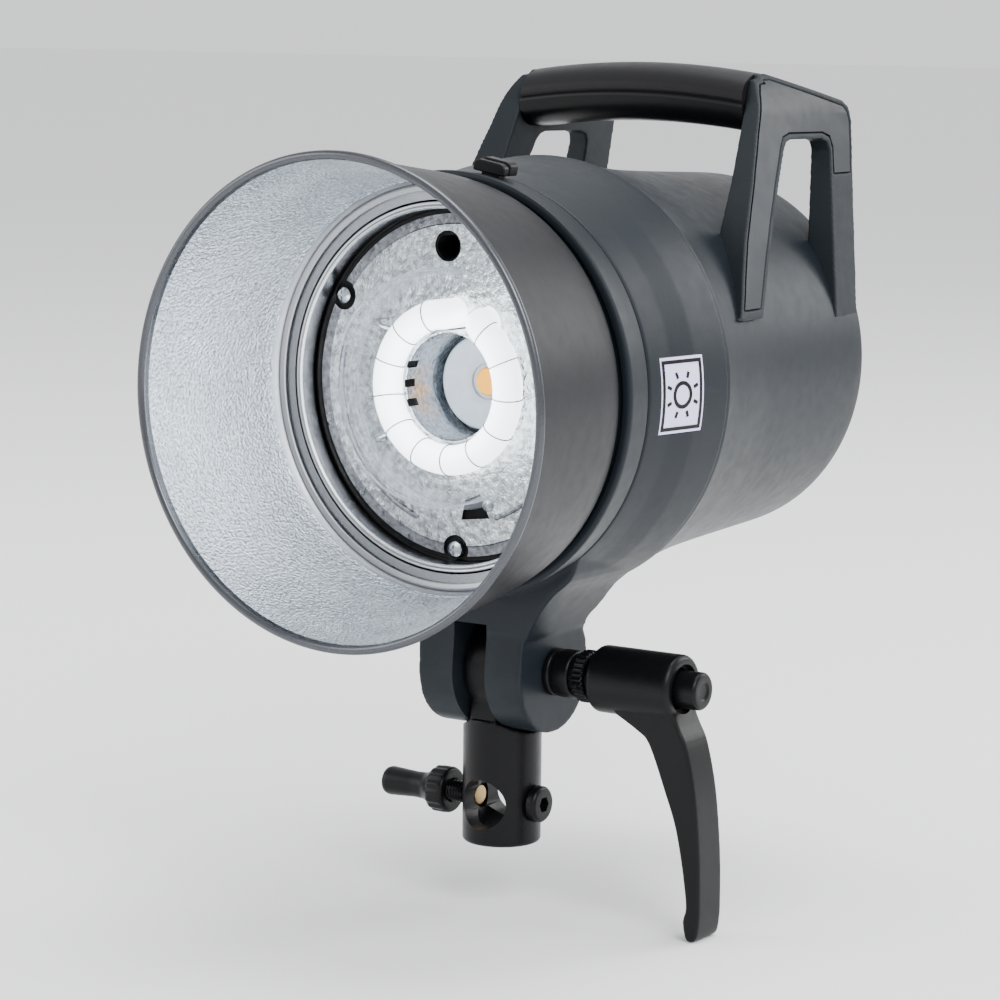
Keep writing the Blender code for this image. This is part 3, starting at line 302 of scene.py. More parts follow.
COLLAR = metal("m_collar", (0.62, 0.63, 0.65), 0.2, (1, 90, 1), 500.0, 0.2, dark=0.7)
CRINKLE = metal("m_crinkle", (0.76, 0.80, 0.82), 0.2, grain=1100.0, depth=0.3, cells=0.8,
                cell_scale=520.0, dark=0.42, distance=0.0009, ripple=0.4, ripple_scale=110.0)
CRINKLE_DARK = metal("m_crinkle_dark", (0.30, 0.31, 0.33), 0.3, grain=900.0, depth=0.3, cells=0.8,
                     cell_scale=520.0, dark=0.5, distance=0.0008)
BRIGHT = metal("m_bright", (0.72, 0.75, 0.78), 0.16, grain=700.0, depth=0.1, cells=0.5, cell_scale=700.0,
               dark=0.6, distance=0.0006)
STEEL = metal("m_steel", (0.52, 0.55, 0.58), 0.26, grain=1400.0, depth=0.2)
BRASS = metal("m_brass", (0.5, 0.36, 0.16), 0.36, grain=1200.0, depth=0.2)
ALUMINIUM = metal("m_aluminium", (0.55, 0.56, 0.58), 0.36, (1, 1, 30), 500.0, 0.2)
# Dome glass with painted reflection at grazing angles, stronger on the ribs as painted highlight lines.
DOME = clear("m_dome", (0.80, 0.88, 0.95), 0.0, 0.16)
DOME_RIB = clear("m_dome_rib", (0.82, 0.9, 0.98), 0.05, 0.6)
# Painted glow: the flash tube is not lit, its emission stands in for its bright white look.
TUBE = lit("m_tube", (0.9, 0.95, 1.0), 0.25, 4.0, (0.93, 0.97, 1.0), 0.04, 200.0)
WIRE = metal("m_trigger_wire", (0.25, 0.26, 0.28), 0.35, grain=2000.0, depth=0.1)
# Painted glow: the LED is not lit, its emission brightens the yellow phosphor.
LED_YELLOW = lit("m_led", (0.75, 0.33, 0.01), 0.5, 0.9, (1.0, 0.40, 0.01), 0.06, 900.0)
LED_WHITE = lit("m_led_white", (0.46, 0.51, 0.56), 0.45, 0.0, (0.9, 0.94, 1.0), 0.08, 300.0)
BADGE = lit("m_badge", (0.6, 0.58, 0.85), 0.35, 0.55, (0.78, 0.72, 1.0), 0.04, 60.0)
CERAMIC = moulded("m_ceramic", (0.62, 0.62, 0.6), 0.4, 900.0, 0.3, (0.7, 0.7, 0.68))
FIBRE = moulded("m_fibre", (0.10, 0.075, 0.05), 0.75, 900.0, 0.8, (0.14, 0.11, 0.07))
SMOKED = moulded("m_smoked", (0.003, 0.0035, 0.005), 0.12, 3000.0, 0.02, (0.01, 0.01, 0.01), coat=0.6)
GREY = moulded("m_button_grey", (0.09, 0.095, 0.1), 0.45, 2200.0, 0.3, (0.15, 0.155, 0.16))
ROCKER = moulded("m_rocker", (0.008, 0.008, 0.009), 0.3, 2400.0, 0.2, (0.02, 0.02, 0.02))
BOARD = moulded("m_board", (0.012, 0.08, 0.035), 0.4, 500.0, 0.4, (0.06, 0.2, 0.1))
CAPACITOR = moulded("m_capacitor", (0.012, 0.02, 0.08), 0.3, 1500.0, 0.1, (0.06, 0.08, 0.16), coat=0.3)
FERRITE = moulded("m_ferrite", (0.03, 0.027, 0.024), 0.65, 900.0, 0.6, (0.06, 0.055, 0.05))
PRINT = moulded("m_print", (0.5, 0.51, 0.52), 0.5, 2600.0, 0.1, (0.55, 0.55, 0.55))
DIGITS = lit("m_digits", (0.8, 0.12, 0.04), 0.4, 1.2, (1.0, 0.14, 0.04), 0.1, 500.0)
# Near-black painted shadow, put in seams, gaps, holes and behind openings where there is only shade.
SHADOW = moulded("m_painted_shadow", (0.002, 0.002, 0.0025), 0.7, 1500.0, 0.5, (0.004, 0.004, 0.004))


# ---------------------------------------------------------------- mesh tools

def finish_mesh(name, builder, material, sharp=32.0):
    """An object from a bmesh in millimetres."""
    bmesh.ops.recalc_face_normals(builder, faces=builder.faces)
    if builder.calc_volume(signed=True) < 0:
        bmesh.ops.reverse_faces(builder, faces=builder.faces)
    builder.transform(Matrix.Scale(MM, 4))
    mesh = bpy.data.meshes.new(name)
    builder.to_mesh(mesh)
    builder.free()
    for item in material if isinstance(material, list) else [material]:
        mesh.materials.append(item)
    mesh.shade_smooth()
    mesh.set_sharp_from_angle(angle=math.radians(sharp))
    thing = bpy.data.objects.new(name, mesh)
    bpy.context.collection.objects.link(thing)
    return thing


def turned(name, outline, axis, centre_mm, sides, material, sharp=32.0, wave=None):
    """Turn an outline of (radius, place along the axis); wave(radius, along, angle) may reshape it."""
    second = Z_AXIS if abs(axis.z) < 0.9 else Y_AXIS
    first = second.cross(axis)
    builder = bmesh.new()
    rings = []
    for radius, along in outline:
        middle = Vector(centre_mm) + axis * along
        if radius < 1e-6:
            rings.append([builder.verts.new(middle)])
            continue
        ring = []
        for step in range(sides):
            angle = 2 * math.pi * step / sides
            here = wave(radius, along, angle) if wave else radius
            ring.append(builder.verts.new(middle + (first * math.cos(angle) + second * math.sin(angle))
                * here))
        rings.append(ring)
    pairs = list(zip(rings, rings[1:]))
    if not (len(rings[0]) == 1 and len(rings[-1]) == 1):
        pairs.append((rings[-1], rings[0]))
    for lower, upper in pairs:
        for step in range(sides):
            after = (step + 1) % sides
            corners = list(dict.fromkeys([lower[step % len(lower)], lower[after % len(lower)],
                upper[after % len(upper)], upper[step % len(upper)]]))
            if len(corners) > 2:
                builder.faces.new(corners)
    return finish_mesh(name, builder, material, sharp)


def rounded(outline, radius, steps=4, closed=True):
    """Round each corner of a 2-D outline with a short quadratic curve."""
    count = len(outline)
    result = []
    for index, point in enumerate(outline):
        here = Vector(point)
        if not closed and index in (0, count - 1):
            result.append(tuple(here))
            continue
        before = Vector(outline[index - 1])
        after = Vector(outline[(index + 1) % count])
        reach = min(radius, (before - here).length * 0.45, (after - here).length * 0.45)
        start = here + (before - here).normalized() * reach
        end = here + (after - here).normalized() * reach
        for step in range(steps + 1):
            t = step / steps
            result.append(tuple(start * (1 - t) ** 2 + here * 2 * t * (1 - t) + end * t * t))
    return result


def extruded(name, outline, axis, from_, to, material):
    def place(point, along):
        if axis == X_AXIS:
            return Vector((along, point[0], point[1]))
        if axis == Y_AXIS:
            return Vector((point[0], along, point[1]))
        return Vector((point[0], point[1], along))

    builder = bmesh.new()
    bottom = [builder.verts.new(place(point, from_)) for point in outline]
    top = [builder.verts.new(place(point, to)) for point in outline]
    builder.faces.new(bottom)
    builder.faces.new(top)
    for index in range(len(outline)):
        after = (index + 1) % len(outline)
        builder.faces.new([bottom[index], bottom[after], top[after], top[index]])
    return finish_mesh(name, builder, material)


def block(name, low_corner, high_corner, material):
    outline = [(low_corner[0], low_corner[1]), (high_corner[0], low_corner[1]),
               (high_corner[0], high_corner[1]), (low_corner[0], high_corner[1])]
    return extruded(name, outline, Z_AXIS, low_corner[2], high_corner[2], material)


def rod(name, radius, from_, to, axis, centre_mm, sides, material=None):
    return turned(name, [(0, from_), (radius, from_), (radius, to), (0, to)], axis, centre_mm, sides,
                  material or BLACK)


def bevelled(thing, width, segments=3, degrees=38.0):
    modifier = thing.modifiers.new("bevel", "BEVEL")
    modifier.width = width * MM
    modifier.segments = segments
    modifier.limit_method = "ANGLE"
    modifier.angle_limit = math.radians(degrees)
    modifier.harden_normals = False
    return thing


def combined(thing, tools, operation):
    for tool in tools:
        modifier = thing.modifiers.new("combine", "BOOLEAN")
        modifier.operation = operation
        modifier.solver = "EXACT"
        modifier.object = tool
    return applied(thing, tools)


def applied(thing, tools=()):
    """Make the modifiers real, and remove the tools."""
    graph = bpy.context.evaluated_depsgraph_get()
    mesh = bpy.data.meshes.new_from_object(thing.evaluated_get(graph))
    thing.modifiers.clear()
    thing.data = mesh
    for tool in tools:
        bpy.data.objects.remove(tool)
    return thing


def cut(thing, *tools):
    return combined(thing, tools, "DIFFERENCE")


def join(thing, *tools):
    return combined(thing, tools, "UNION")


def melted(thing, voxel, passes, factor=0.5, keep=1.0):
    """Remesh a joined body so its inner corners flow, smooth it, and thin the mesh."""
    remesh = thing.modifiers.new("remesh", "REMESH")
    remesh.mode = "VOXEL"
    remesh.voxel_size = voxel * MM
    smooth = thing.modifiers.new("smooth", "SMOOTH")
    smooth.factor = factor
    smooth.iterations = passes
    if keep < 1.0:
        thin = thing.modifiers.new("thin", "DECIMATE")
        thin.ratio = keep
    applied(thing)
    thing.data.shade_smooth()
    return thing


def sharp_again(thing, degrees=32.0):
    thing.data.shade_smooth()
    thing.data.set_sharp_from_angle(angle=math.radians(degrees))
    return thing


def wire(name, points, radius, material, resolution=4, closed=False):
    """A round wire along points in millimetres."""
    curve = bpy.data.curves.new(name, "CURVE")
    curve.dimensions = "3D"
    curve.bevel_depth = radius * MM
    curve.bevel_resolution = resolution
    curve.use_fill_caps = True
    spline = curve.splines.new("POLY")
    spline.points.add(len(points) - 1)
    for slot, point in zip(spline.points, points):
        slot.co = (*(Vector(point) * MM), 1.0)
    spline.use_cyclic_u = closed
    curve.materials.append(material)
    thing = bpy.data.objects.new(name, curve)
    bpy.context.collection.objects.link(thing)
    return thing


def arc(centre_2d, radius, start, end, steps):
    return [(centre_2d[0] + radius * math.cos(math.radians(start + (end - start) * step / steps)),
             centre_2d[1] + radius * math.sin(math.radians(start + (end - start) * step / steps)))
            for step in range(steps + 1)]


def around(radius, degrees, y=0.0):
    """A point at a radius and angle about the lamp axis."""
    angle = math.radians(degrees)
    return Vector((radius * math.cos(angle), y, LAMP_Z + radius * math.sin(angle)))


def spun(thing, degrees):
    """Turn a thing drawn above the lamp axis to a place round it, and bake that in."""
    turn = Matrix.Rotation(math.radians(90 - degrees), 4, "Y")
    middle = Matrix.Translation(LAMP * MM)
    thing.data.transform(middle @ turn @ middle.inverted())
    return thing


def stands(piece, slot_name, *nodes):
    """The piece rides on its nodes' body and stands for them; the slot name is not used."""
    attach(piece, body_of(frame["nodes"][nodes[0]])[0])
    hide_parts(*nodes)
    return piece


def extra(piece, like):
    """A detail that rides with a node and replaces nothing."""
    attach(piece, body_of(frame["nodes"][like])[0])
    return piece


# ---------------------------------------------------------------- reflector

bead = [(BELL_RADIUS - 1.5 + 1.5 * math.cos(math.radians(d)), BELL_FRONT_Y + 1.5 + 1.5
    * math.sin(math.radians(d))) for d in range(-178, 61, 17)]


def curve_through(points, steps=6):
    """Catmull-Rom through points of an outline."""
    padded = [points[0]] + points + [points[-1]]
    result = []
    for index in range(1, len(padded) - 2):
        p0, p1, p2, p3 = (Vector(p) for p in padded[index - 1:index + 3])
        for step in range(steps):
            t = step / steps
            result.append(tuple(0.5 * (2 * p1 + (p2 - p0) * t + (2 * p0 - 5 * p1 + 4 * p2 - p3) * t * t
                + (3 * p1 - p0 - 3 * p2 + p3) * t ** 3)))
    result.append(points[-1])
    return result


outer_wall = curve_through([(78.3, -95.2), (77.6, -90), (75.0, -70.5), (72.4, -51), (70.9, -43),
    (69.6, -38.8), (67.0, -36.0), (65.5, BACK)])
inner_wall = curve_through([(66.0, BACK - 1.5), (67.0, -37.6), (68.6, -39.8), (69.8, -43.4), (71.2, -51.3),
    (73.8, -70.7), (76.4, -90), (77.2, -96.0)])


def hammered(radius, along, angle):
    """Slight unevenness of the spun and hammered bowl."""
    if radius > 78 or along > -38:
        return radius
    where = Vector((math.cos(angle) * 9, math.sin(angle) * 9, along * 0.12))
    return radius + 0.05 * noise.noise(where * 3)


bowl = turned("reflector_bell_body",
              bead + outer_wall + [(62.1, BACK), (62.1, BACK - 1.2)] + inner_wall,
              Y_AXIS, LAMP, 180, [BELL_OUT, BELL_RIM, BELL_IN, FLANGE], wave=hammered)
for face in bowl.data.polygons:
    middle = face.center / MM
    radius = math.hypot(middle.x, middle.z - LAMP_Z)
    facing_in = (face.normal.x * middle.x + face.normal.z * (middle.z - LAMP_Z)) < 0
    if middle.y < BELL_FRONT_Y + 3.4:
        face.material_index = 1
    elif facing_in or (radius < 66.5 and face.normal.y < 0):
        face.material_index = 2 if radius > 68.9 else 3
stands(bowl, "spun_metal", "reflector_bell")

flange_rib = turned("reflector_rib", rounded([(65.0, -38.2), (66.8, -38.9), (67.6, -38.2), (66.8, -37.2),
    (65.0, -37.3)], 0.5), Y_AXIS, LAMP, 160, FLANGE)
extra(flange_rib, "reflector_bell")

front, back = BACK - 1.4, low("reflector_collar").y
collar_back = high("reflector_collar").y
collar = turned("reflector_collar_body", rounded([(59.0, front + 0.3), (59.5, front - 0.5), (60.1, front
    - 0.5), (60.5, front + 0.2), (61.2, front - 0.1), (61.6, front + 0.3), (61.6, collar_back - 0.2),
    (59.2, collar_back - 0.2)], 0.25, 3), Y_AXIS, LAMP, 160, COLLAR)
lugs = [bevelled(spun(block(f"lug_{index}", (-4.5, collar_back - 1.7, LAMP_Z + 60.8), (4.5, collar_back - 0.1,
    LAMP_Z + 63.6), COLLAR), 70 + 120 * index), 0.3, 2) for index in range(3)]
stands(collar, "bright_collar", "reflector_collar")
for lug in lugs:
    extra(lug, "reflector_collar")

# ---------------------------------------------------------------- casing

RING_OUTLINE = rounded([(64.6, SEAM_FRONT_Y - 0.35), (69.5, SEAM_FRONT_Y - 0.35), (70.3, SEAM_FRONT_Y - 1.0),
    (71.7, RING_Y + 1.6), (71.5, RING_Y + 0.5), (70.4, RING_Y + 0.05), (68.6, RING_Y + 0.1), (67.8, RING_Y
    + 1.0), (66.2, RING_Y + 1.2), (65.6, RING_Y + 0.1), (62.4, RING_Y + 0.1), (62.4, RING_Y + 2.4),
    (64.6, RING_Y + 2.4)], 0.45, 3)
ring = turned("front_ring_body", RING_OUTLINE, Y_AXIS, LAMP, 160, SLATE)
gaps = [spun(block(f"gap_{index}", (-6, RING_Y - 3, LAMP_Z + 60.4), (6, RING_Y + 3.1, LAMP_Z + 65.6), SLATE),
             40 + 120 * index) for index in range(3)]
slot_cutter = spun(block("slot_cutter", (-4.3, -29.4, LAMP_Z + 60), (4.3, -20.6, LAMP_Z + 80), SLATE),
    SLIDER_AT)
sharp_again(cut(ring, *gaps, slot_cutter))
stands(ring, "slate_casing", "front_ring")

# Front shell: ring and fork melted into one flowing casting, then cut. Both seams follow the ends
# of the whole front_shell node, which are the fork lug's, so they lie outside the CAD's own seams.
front, rear = SEAM_FRONT_Y, high("front_shell").y
lug_radius, lug_half = 21.1, 21.0
shell = turned("front_shell_body", [(67.5, front), (70.1, front), (71.4, -9), (73.4, 3), (75.0, rear),
    (72.0, rear), (70.4, 3), (68.4, -9)], Y_AXIS, LAMP, 160, SLATE)
flare = curve_through([(lug_half, 38), (lug_half, 70.1), (22.6, 75.9), (26.5, 82.7), (32.6, 90.5),
                       (41.4, 99.2), (45, 115.7)], 4)
flare_outline = flare + [(-x, z) for x, z in reversed(flare)]
side_outline = arc((0, PIVOT.z), lug_radius, 180, 360, 32) + curve_through(
    [(19.9, 70.1), (16.8, 78), (rear - 0.4, 85), (rear - 0.4, 112)], 3) + [
    (front + 0.4, 112), (front + 0.4, 87), (-19.9, 75)]
lug = extruded("lug_side", side_outline, X_AXIS, -60, 60, SLATE)
combined(lug, [extruded("lug_flare", flare_outline, Y_AXIS, -40, 40, SLATE)], "INTERSECT")
inside = turned("shell_inside", [(0, -40), (68.4, -40), (69.6, -9), (73.2, rear + 3), (0, rear + 3)],
                Y_AXIS, LAMP, 96, SLATE)
cut(lug, inside)
join(shell, lug)
melted(shell, 0.55, 11, 0.5, 0.3)
slot_half, slot_roof = 6.6, 78.7
badge_low, badge_high = low("badge_tile"), high("badge_tile")
recess_x = -lug_half + 4.7
cheek_hole = turned("cheek_hole", [(0, -40), (6.6, -40), (6.6, recess_x), (4.3, recess_x), (4.3, 40),
    (0, 40)], X_AXIS, PIVOT, 40, SLATE)
window = block("badge_window", (60, badge_low.y - GAP, badge_low.z - GAP),
               (90, badge_high.y + GAP, badge_high.z + GAP), SLATE)
below = block("fork_slot", (-slot_half, -40, 30), (slot_half, 40, slot_roof), SLATE)
cut(shell, window, below, cheek_hole)
sharp_again(shell, 40)
stands(shell, "slate_casing", "front_shell")

# Rear shell, with small rounded lips at the seam and a soft rear edge
rear_outside = curve_through([(74.4, rear + 0.3), (74.9, rear + 1.0), (74.5, 20.4), (72.8, 29.2),
    (70.8, 44.1), (68.8, 61.7), (67.3, 85.4), (66.0, 114.4), (65.3, 129.4), (64.6, 132.6), (63.2, 134.7),
    (61.2, REAR_Y)], 5)
rear_inside = [(60.2, REAR_Y - 0.2), (59.5, REAR_Y - 1.2), (59.5, 128.2), (62.4, 126.5), (64.3, 85.4),
    (67.8, 44.1), (72.0, rear + 0.3)]
rear_shell = turned("rear_shell_body", rear_outside + rear_inside, Y_AXIS, LAMP, 200, SLATE, sharp=40)
stands(rear_shell, "slate_casing", "rear_shell")
# Black rings of painted shadow fill the seams at both ends of the front shell.
seam_shadow = turned("seam_shadow", [(71.0, rear - 1.4), (73.9, rear - 1.4), (73.9, rear + 1.6), (71.0, rear
    + 1.6)], Y_AXIS, LAMP, 120, SHADOW)
extra(seam_shadow, "rear_shell")
seam_front = turned("seam_front_shadow", [(67.7, front - 0.9), (69.2, front - 0.9), (69.2, front + 0.9),
    (67.7, front + 0.9)], Y_AXIS, LAMP, 120, SHADOW)
extra(seam_front, "front_shell")


def casing_radius(y):
    """Outer radius of the front shell at a place along the lamp axis."""
    marks = [(-17.6, 70.1), (-9, 71.4), (3, 73.4), (15, 75.0)]
    for (y0, r0), (y1, r1) in zip(marks, marks[1:]):
        if y <= y1:
            return r0 + (r1 - r0) * (y - y0) / (y1 - y0)
    return marks[-1][1]


def badge_point(y, up, lift):
    radius = casing_radius(y) + lift
    return Vector((math.sqrt(radius * radius - up * up), y, LAMP_Z + up))


def badge_patch(name, outline, from_lift, to_lift, material):
    """A thin raised patch that follows the casing, from a closed (y, up) outline about its middle."""
    builder = bmesh.new()
    count = len(outline)
    middle_y = sum(p[0] for p in outline) / count
    middle_up = sum(p[1] for p in outline) / count
    loops = []
    for lift in (from_lift, to_lift):
        rim = [builder.verts.new(badge_point(y, up, lift)) for y, up in outline]
        half = [builder.verts.new(badge_point((y + middle_y) / 2, (up + middle_up) / 2, lift)) for y,
            up in outline]
        hub = builder.verts.new(badge_point(middle_y, middle_up, lift))
        loops.append(rim)
        for index in range(count):
            after = (index + 1) % count
            builder.faces.new([rim[index], rim[after], half[after], half[index]])
            builder.faces.new([half[index], half[after], hub])
    for index in range(count):
        after = (index + 1) % count
        builder.faces.new([loops[0][index], loops[0][after], loops[1][after], loops[1][index]])
    return finish_mesh(name, builder, material)


def badge_frame(name, outer, inner, from_lift, to_lift, material):
    """A thin raised band between two outlines with the same number of points."""
    builder = bmesh.new()
    rings = [[builder.verts.new(badge_point(y, up, lift)) for y, up in outline] for lift,
        outline in ((from_lift, outer), (to_lift, outer), (to_lift, inner), (from_lift, inner))]
    count = len(outer)
    for lower, upper in zip(rings, rings[1:] + rings[:1]):
        for index in range(count):
            after = (index + 1) % count
            builder.faces.new([lower[index], lower[after], upper[after], upper[index]])
    return finish_mesh(name, builder, material)


def rectangle(y0, y1, half, steps=8):
    """Points round a rectangle in (y, up), with enough along each side to follow the casing."""
    points = []
    corners = [(y0, -half), (y1, -half), (y1, half), (y0, half)]
    for index, (a, b) in enumerate(zip(corners, corners[1:] + corners[:1])):
        points += [(a[0] + (b[0] - a[0]) * s / steps, a[1] + (b[1] - a[1]) * s / steps) for s in range(steps)]
    return points


y0, y1 = badge_low.y, badge_high.y
half = (badge_high.z - badge_low.z) / 2
tile = badge_patch("badge_tile_body", rectangle(y0, y1, half), -1.5, -0.15, BADGE)
stands(tile, "badge_light", "badge_tile")
middle_y = (y0 + y1) / 2
frame_band = badge_frame("badge_frame", rectangle(y0 + 0.9, y1 - 0.9, half - 0.9), rectangle(y0 + 2.1, y1
    - 2.1, half - 2.1), -0.6, 0.0, BLACK)
extra(frame_band, "badge_tile")
sun = badge_frame("badge_ring", arc((middle_y, 0), 4.6, 0, 345, 23), arc((middle_y, 0), 3.3, 0, 345, 23),
    -0.6, 0.0, BLACK)
extra(sun, "badge_tile")
for index in range(8):
    angle = math.radians(45 * index + 22.5)
    along, side = Vector((math.cos(angle), math.sin(angle))), Vector((-math.sin(angle), math.cos(angle)))
    corners = [along * 5.9 - side * 0.55, along * 8.0 - side * 0.55, along * 8.0 + side * 0.55,
               along * 5.9 + side * 0.55]
    ray = badge_patch(f"badge_ray_{index}", [(middle_y + c.x, c.y) for c in corners], -0.6, 0.0, BLACK)
    extra(ray, "badge_tile")

# Release slider: a sloping front block and a taller rear block on one slide
slider = bevelled(spun(block("slider_stem", (-3.7, -28.8, LAMP_Z + 65.4), (3.7, -25.4, LAMP_Z + 73), BLACK),
    SLIDER_AT), 0.3, 2)
stands(slider, "black_plastic", "release_slider")
for name, (ya, yb, top) in {"slider_front": (-30.5, -27.4, 75.9), "slider_rear": (-26.9, -22.3,
        76.5)}.items():
    outline = [(-6.2, 72.0), (6.2, 72.0), (6.2, top - 1.0), (4.6, top), (-4.6, top), (-6.2, top - 1.0)]
    piece = extruded(name, [(x, LAMP_Z + z) for x, z in rounded(outline, 0.8, 3)], Y_AXIS, ya, yb, BLACK)
    bevelled(spun(piece, SLIDER_AT), 0.45, 2)
    extra(piece, "release_slider")

# ---------------------------------------------------------------- handle

def plate_outer_x(y, z):
    lean = 0.23 - 0.00105 * (y - 38.4)
    return 51.9 + lean * (259.7 - z) - max(0.0, z - 248.0) ** 2 / 44.0


def plate_inner_x(z):
    return 46.2 + 0.07 * (252.0 - z)


PLATE_OUTLINE = [(38.6, 181.5), (61.0, 225.5), (74.0, 251.0), (76.6, 256.0), (79.8, 260.2),
                 (84.0, 262.0), (89.4, 262.3), (136.0, 252.4), (139.6, 250.0), (141.0, 245.0),
                 (138.4, 226.0), (133.5, 190.0), (131.2, 176.5), (113.4, 176.5), (122.3, 235.0),
                 (121.0, 238.0), (117.0, 239.2), (94.0, 239.5), (90.5, 238.5), (88.2, 236.0),
                 (54.0, 180.5), (40.0, 180.5)]
COVER_OUTLINE = [(41.8, 183.6), (63.0, 225.5), (76.0, 251.0), (78.7, 255.8), (81.8, 258.9),
                 (85.6, 260.3), (89.8, 260.5), (135.3, 250.7), (137.9, 248.6), (139.3, 244.6),
                 (136.9, 226.5), (123.2, 226.5), (124.4, 236.0), (122.8, 239.8), (118.0, 241.2),
                 (93.4, 241.5), (88.6, 240.3), (86.0, 237.0), (53.2, 183.6)]
FRONT_EDGE = 5


def slab(name, outline, side, material, shift=0.0):
    """An outline run along X; its front edge falls back towards the middle."""
    builder = bmesh.new()
    loops = []
    for x in (40.0, 84.0):
        loop = []
        for index, (y, z) in enumerate(outline):
            back = 0.0
            if index < FRONT_EDGE:
                back = min((plate_outer_x(y, z) - x) * 0.42, 8.0)
            loop.append(builder.verts.new((side * x, y + back + shift, z)))
        loops.append(loop)
        builder.faces.new(loop)
    for index in range(len(outline)):
        after = (index + 1) % len(outline)
        builder.faces.new([loops[0][index], loops[0][after], loops[1][after]])
        builder.faces.new([loops[0][index], loops[1][after], loops[1][index]])
    return finish_mesh(name, builder, material)


def leaning(name, inner_x, outer_x, side, material):
    heights = [160, 175, 190, 205, 220, 235, 248, 250, 252, 254, 256, 257.5, 259, 260.5, 262.8]
    builder = bmesh.new()
    rings = []
    for y in (20.0, 55.0, 90.0, 125.0, 160.0):
        inner = [builder.verts.new((side * inner_x(y, z), y, z)) for z in heights]
        outer = [builder.verts.new((side * outer_x(y, z), y, z)) for z in heights]
        rings.append(inner + outer[::-1])
    for ring_ in (rings[0], rings[-1]):
        builder.faces.new(ring_)
    for lower, upper in zip(rings, rings[1:]):
        for corner in range(len(lower)):
            after = (corner + 1) % len(lower)
            builder.faces.new([lower[corner], lower[after], upper[after], upper[corner]])
    bmesh.ops.triangulate(builder, faces=builder.faces)
    return finish_mesh(name, builder, material)


for side, word in ((-1, "left"), (1, "right")):
    plate = slab(f"plate_{word}_body", PLATE_OUTLINE, side, SLATE_ROUGH)
    combined(plate, [leaning("lean", lambda y, z: plate_inner_x(z), plate_outer_x, side, SLATE)], "INTERSECT")
    around_body = [(radius + GAP, along) for radius, along in rear_outside]
    keep_out = turned("keep_out", [(0, 10), (around_body[0][0], 10)] + around_body + [(0, REAR_Y + GAP)],
        Y_AXIS, LAMP, 96, SLATE)
    recess = slab("recess", COVER_OUTLINE, side, SLATE)
    combined(recess, [leaning("recess_lean", lambda y, z: plate_outer_x(y, z) - 1.0, lambda y,
        z: plate_outer_x(y, z) + 3, side, SLATE)], "INTERSECT")
    cut(plate, keep_out, recess)
    melted(plate, 0.4, 8, 0.5, 0.3)
    stands(plate, "slate_casing", f"handle_plate_{word}")
    narrow = []
    count = len(COVER_OUTLINE)
    for index, point in enumerate(COVER_OUTLINE):
        here = Vector(point)
        before = (here - Vector(COVER_OUTLINE[index - 1])).normalized()
        after = (Vector(COVER_OUTLINE[(index + 1) % count]) - here).normalized()
        inward = Vector((before.y, -before.x)) + Vector((after.y, -after.x))
        inward.normalize()
        narrow.append(tuple(here + inward * 0.55 / inward.dot(Vector((after.y, -after.x)))))
    cover = slab(f"cover_{word}_body", narrow, side, SLATE_SMOOTH)
    combined(cover, [leaning("cover_lean", lambda y, z: plate_outer_x(y, z) - 1.0 + GAP, lambda y,
        z: plate_outer_x(y, z) - 0.05, side, SLATE)], "INTERSECT")
    sharp_again(cover, 25)
    bevelled(cover, 0.3, 2, 40)
    stands(cover, "slate_casing", f"handle_cover_{word}")

GRIP_FRONT, GRIP_REAR, GRIP_Z = 75.2, 111.0, 252.1


def grip_loft(name, profile, material, stations=33):
    builder = bmesh.new()
    rings = []
    for index in range(stations):
        place = -1 + 2 * index / (stations - 1)
        rise = 3.2 * (1 - place * place)
        rings.append([builder.verts.new((place * (plate_inner_x(GRIP_Z + z) - 0.1), y, GRIP_Z + z + rise))
                      for y, z in profile])
    builder.faces.new(rings[0])
    builder.faces.new(rings[-1])
    for lower, upper in zip(rings, rings[1:]):
        for corner in range(len(profile)):
            after = (corner + 1) % len(profile)
            builder.faces.new([lower[corner], lower[after], upper[after], upper[corner]])
    return finish_mesh(name, builder, material, 40)


top_curve = curve_through([(GRIP_REAR - 0.1, 0.9), (GRIP_REAR - 0.8, 2.4), (GRIP_REAR - 5, 4.8), (GRIP_REAR
    - 13, 7.2), (GRIP_FRONT + 13, 10.2), (GRIP_FRONT + 5, 8.4), (GRIP_FRONT + 0.9, 4.2), (GRIP_FRONT + 0.1,
    1.0)], 5)
grip_top = grip_loft("grip_top_body", [(GRIP_FRONT + 0.5, 0.35), (GRIP_REAR - 0.5, 0.35)] + top_curve, GRIP)
stands(grip_top, "grip_rubber", "grip_top")
low_curve = curve_through([(GRIP_FRONT + 0.1, -1.0), (GRIP_FRONT + 0.8, -5.2), (GRIP_FRONT + 4, -8.4),
    (GRIP_FRONT + 10, -10.4), (GRIP_REAR - 10, -10.4), (GRIP_REAR - 4, -8.4), (GRIP_REAR - 0.8, -5.2),
    (GRIP_REAR - 0.1, -1.0)], 5)
grip_bottom = grip_loft("grip_bottom_body", low_curve + [(GRIP_REAR - 0.5, -0.35), (GRIP_FRONT + 0.5, -0.35)],
    BLACK)
stands(grip_bottom, "black_plastic", "grip_bottom")

# A black bar of painted shadow fills the gap between the grip halves.
grip_gap_shadow = grip_loft("grip_gap_painted_shadow", [(GRIP_FRONT + 1.0, -1.2), (GRIP_REAR - 1.0, -1.2), (GRIP_REAR - 1.0, 1.2),
    (GRIP_FRONT + 1.0, 1.2)], SHADOW)
extra(grip_gap_shadow, "grip_bottom")

# ---------------------------------------------------------------- lamp end

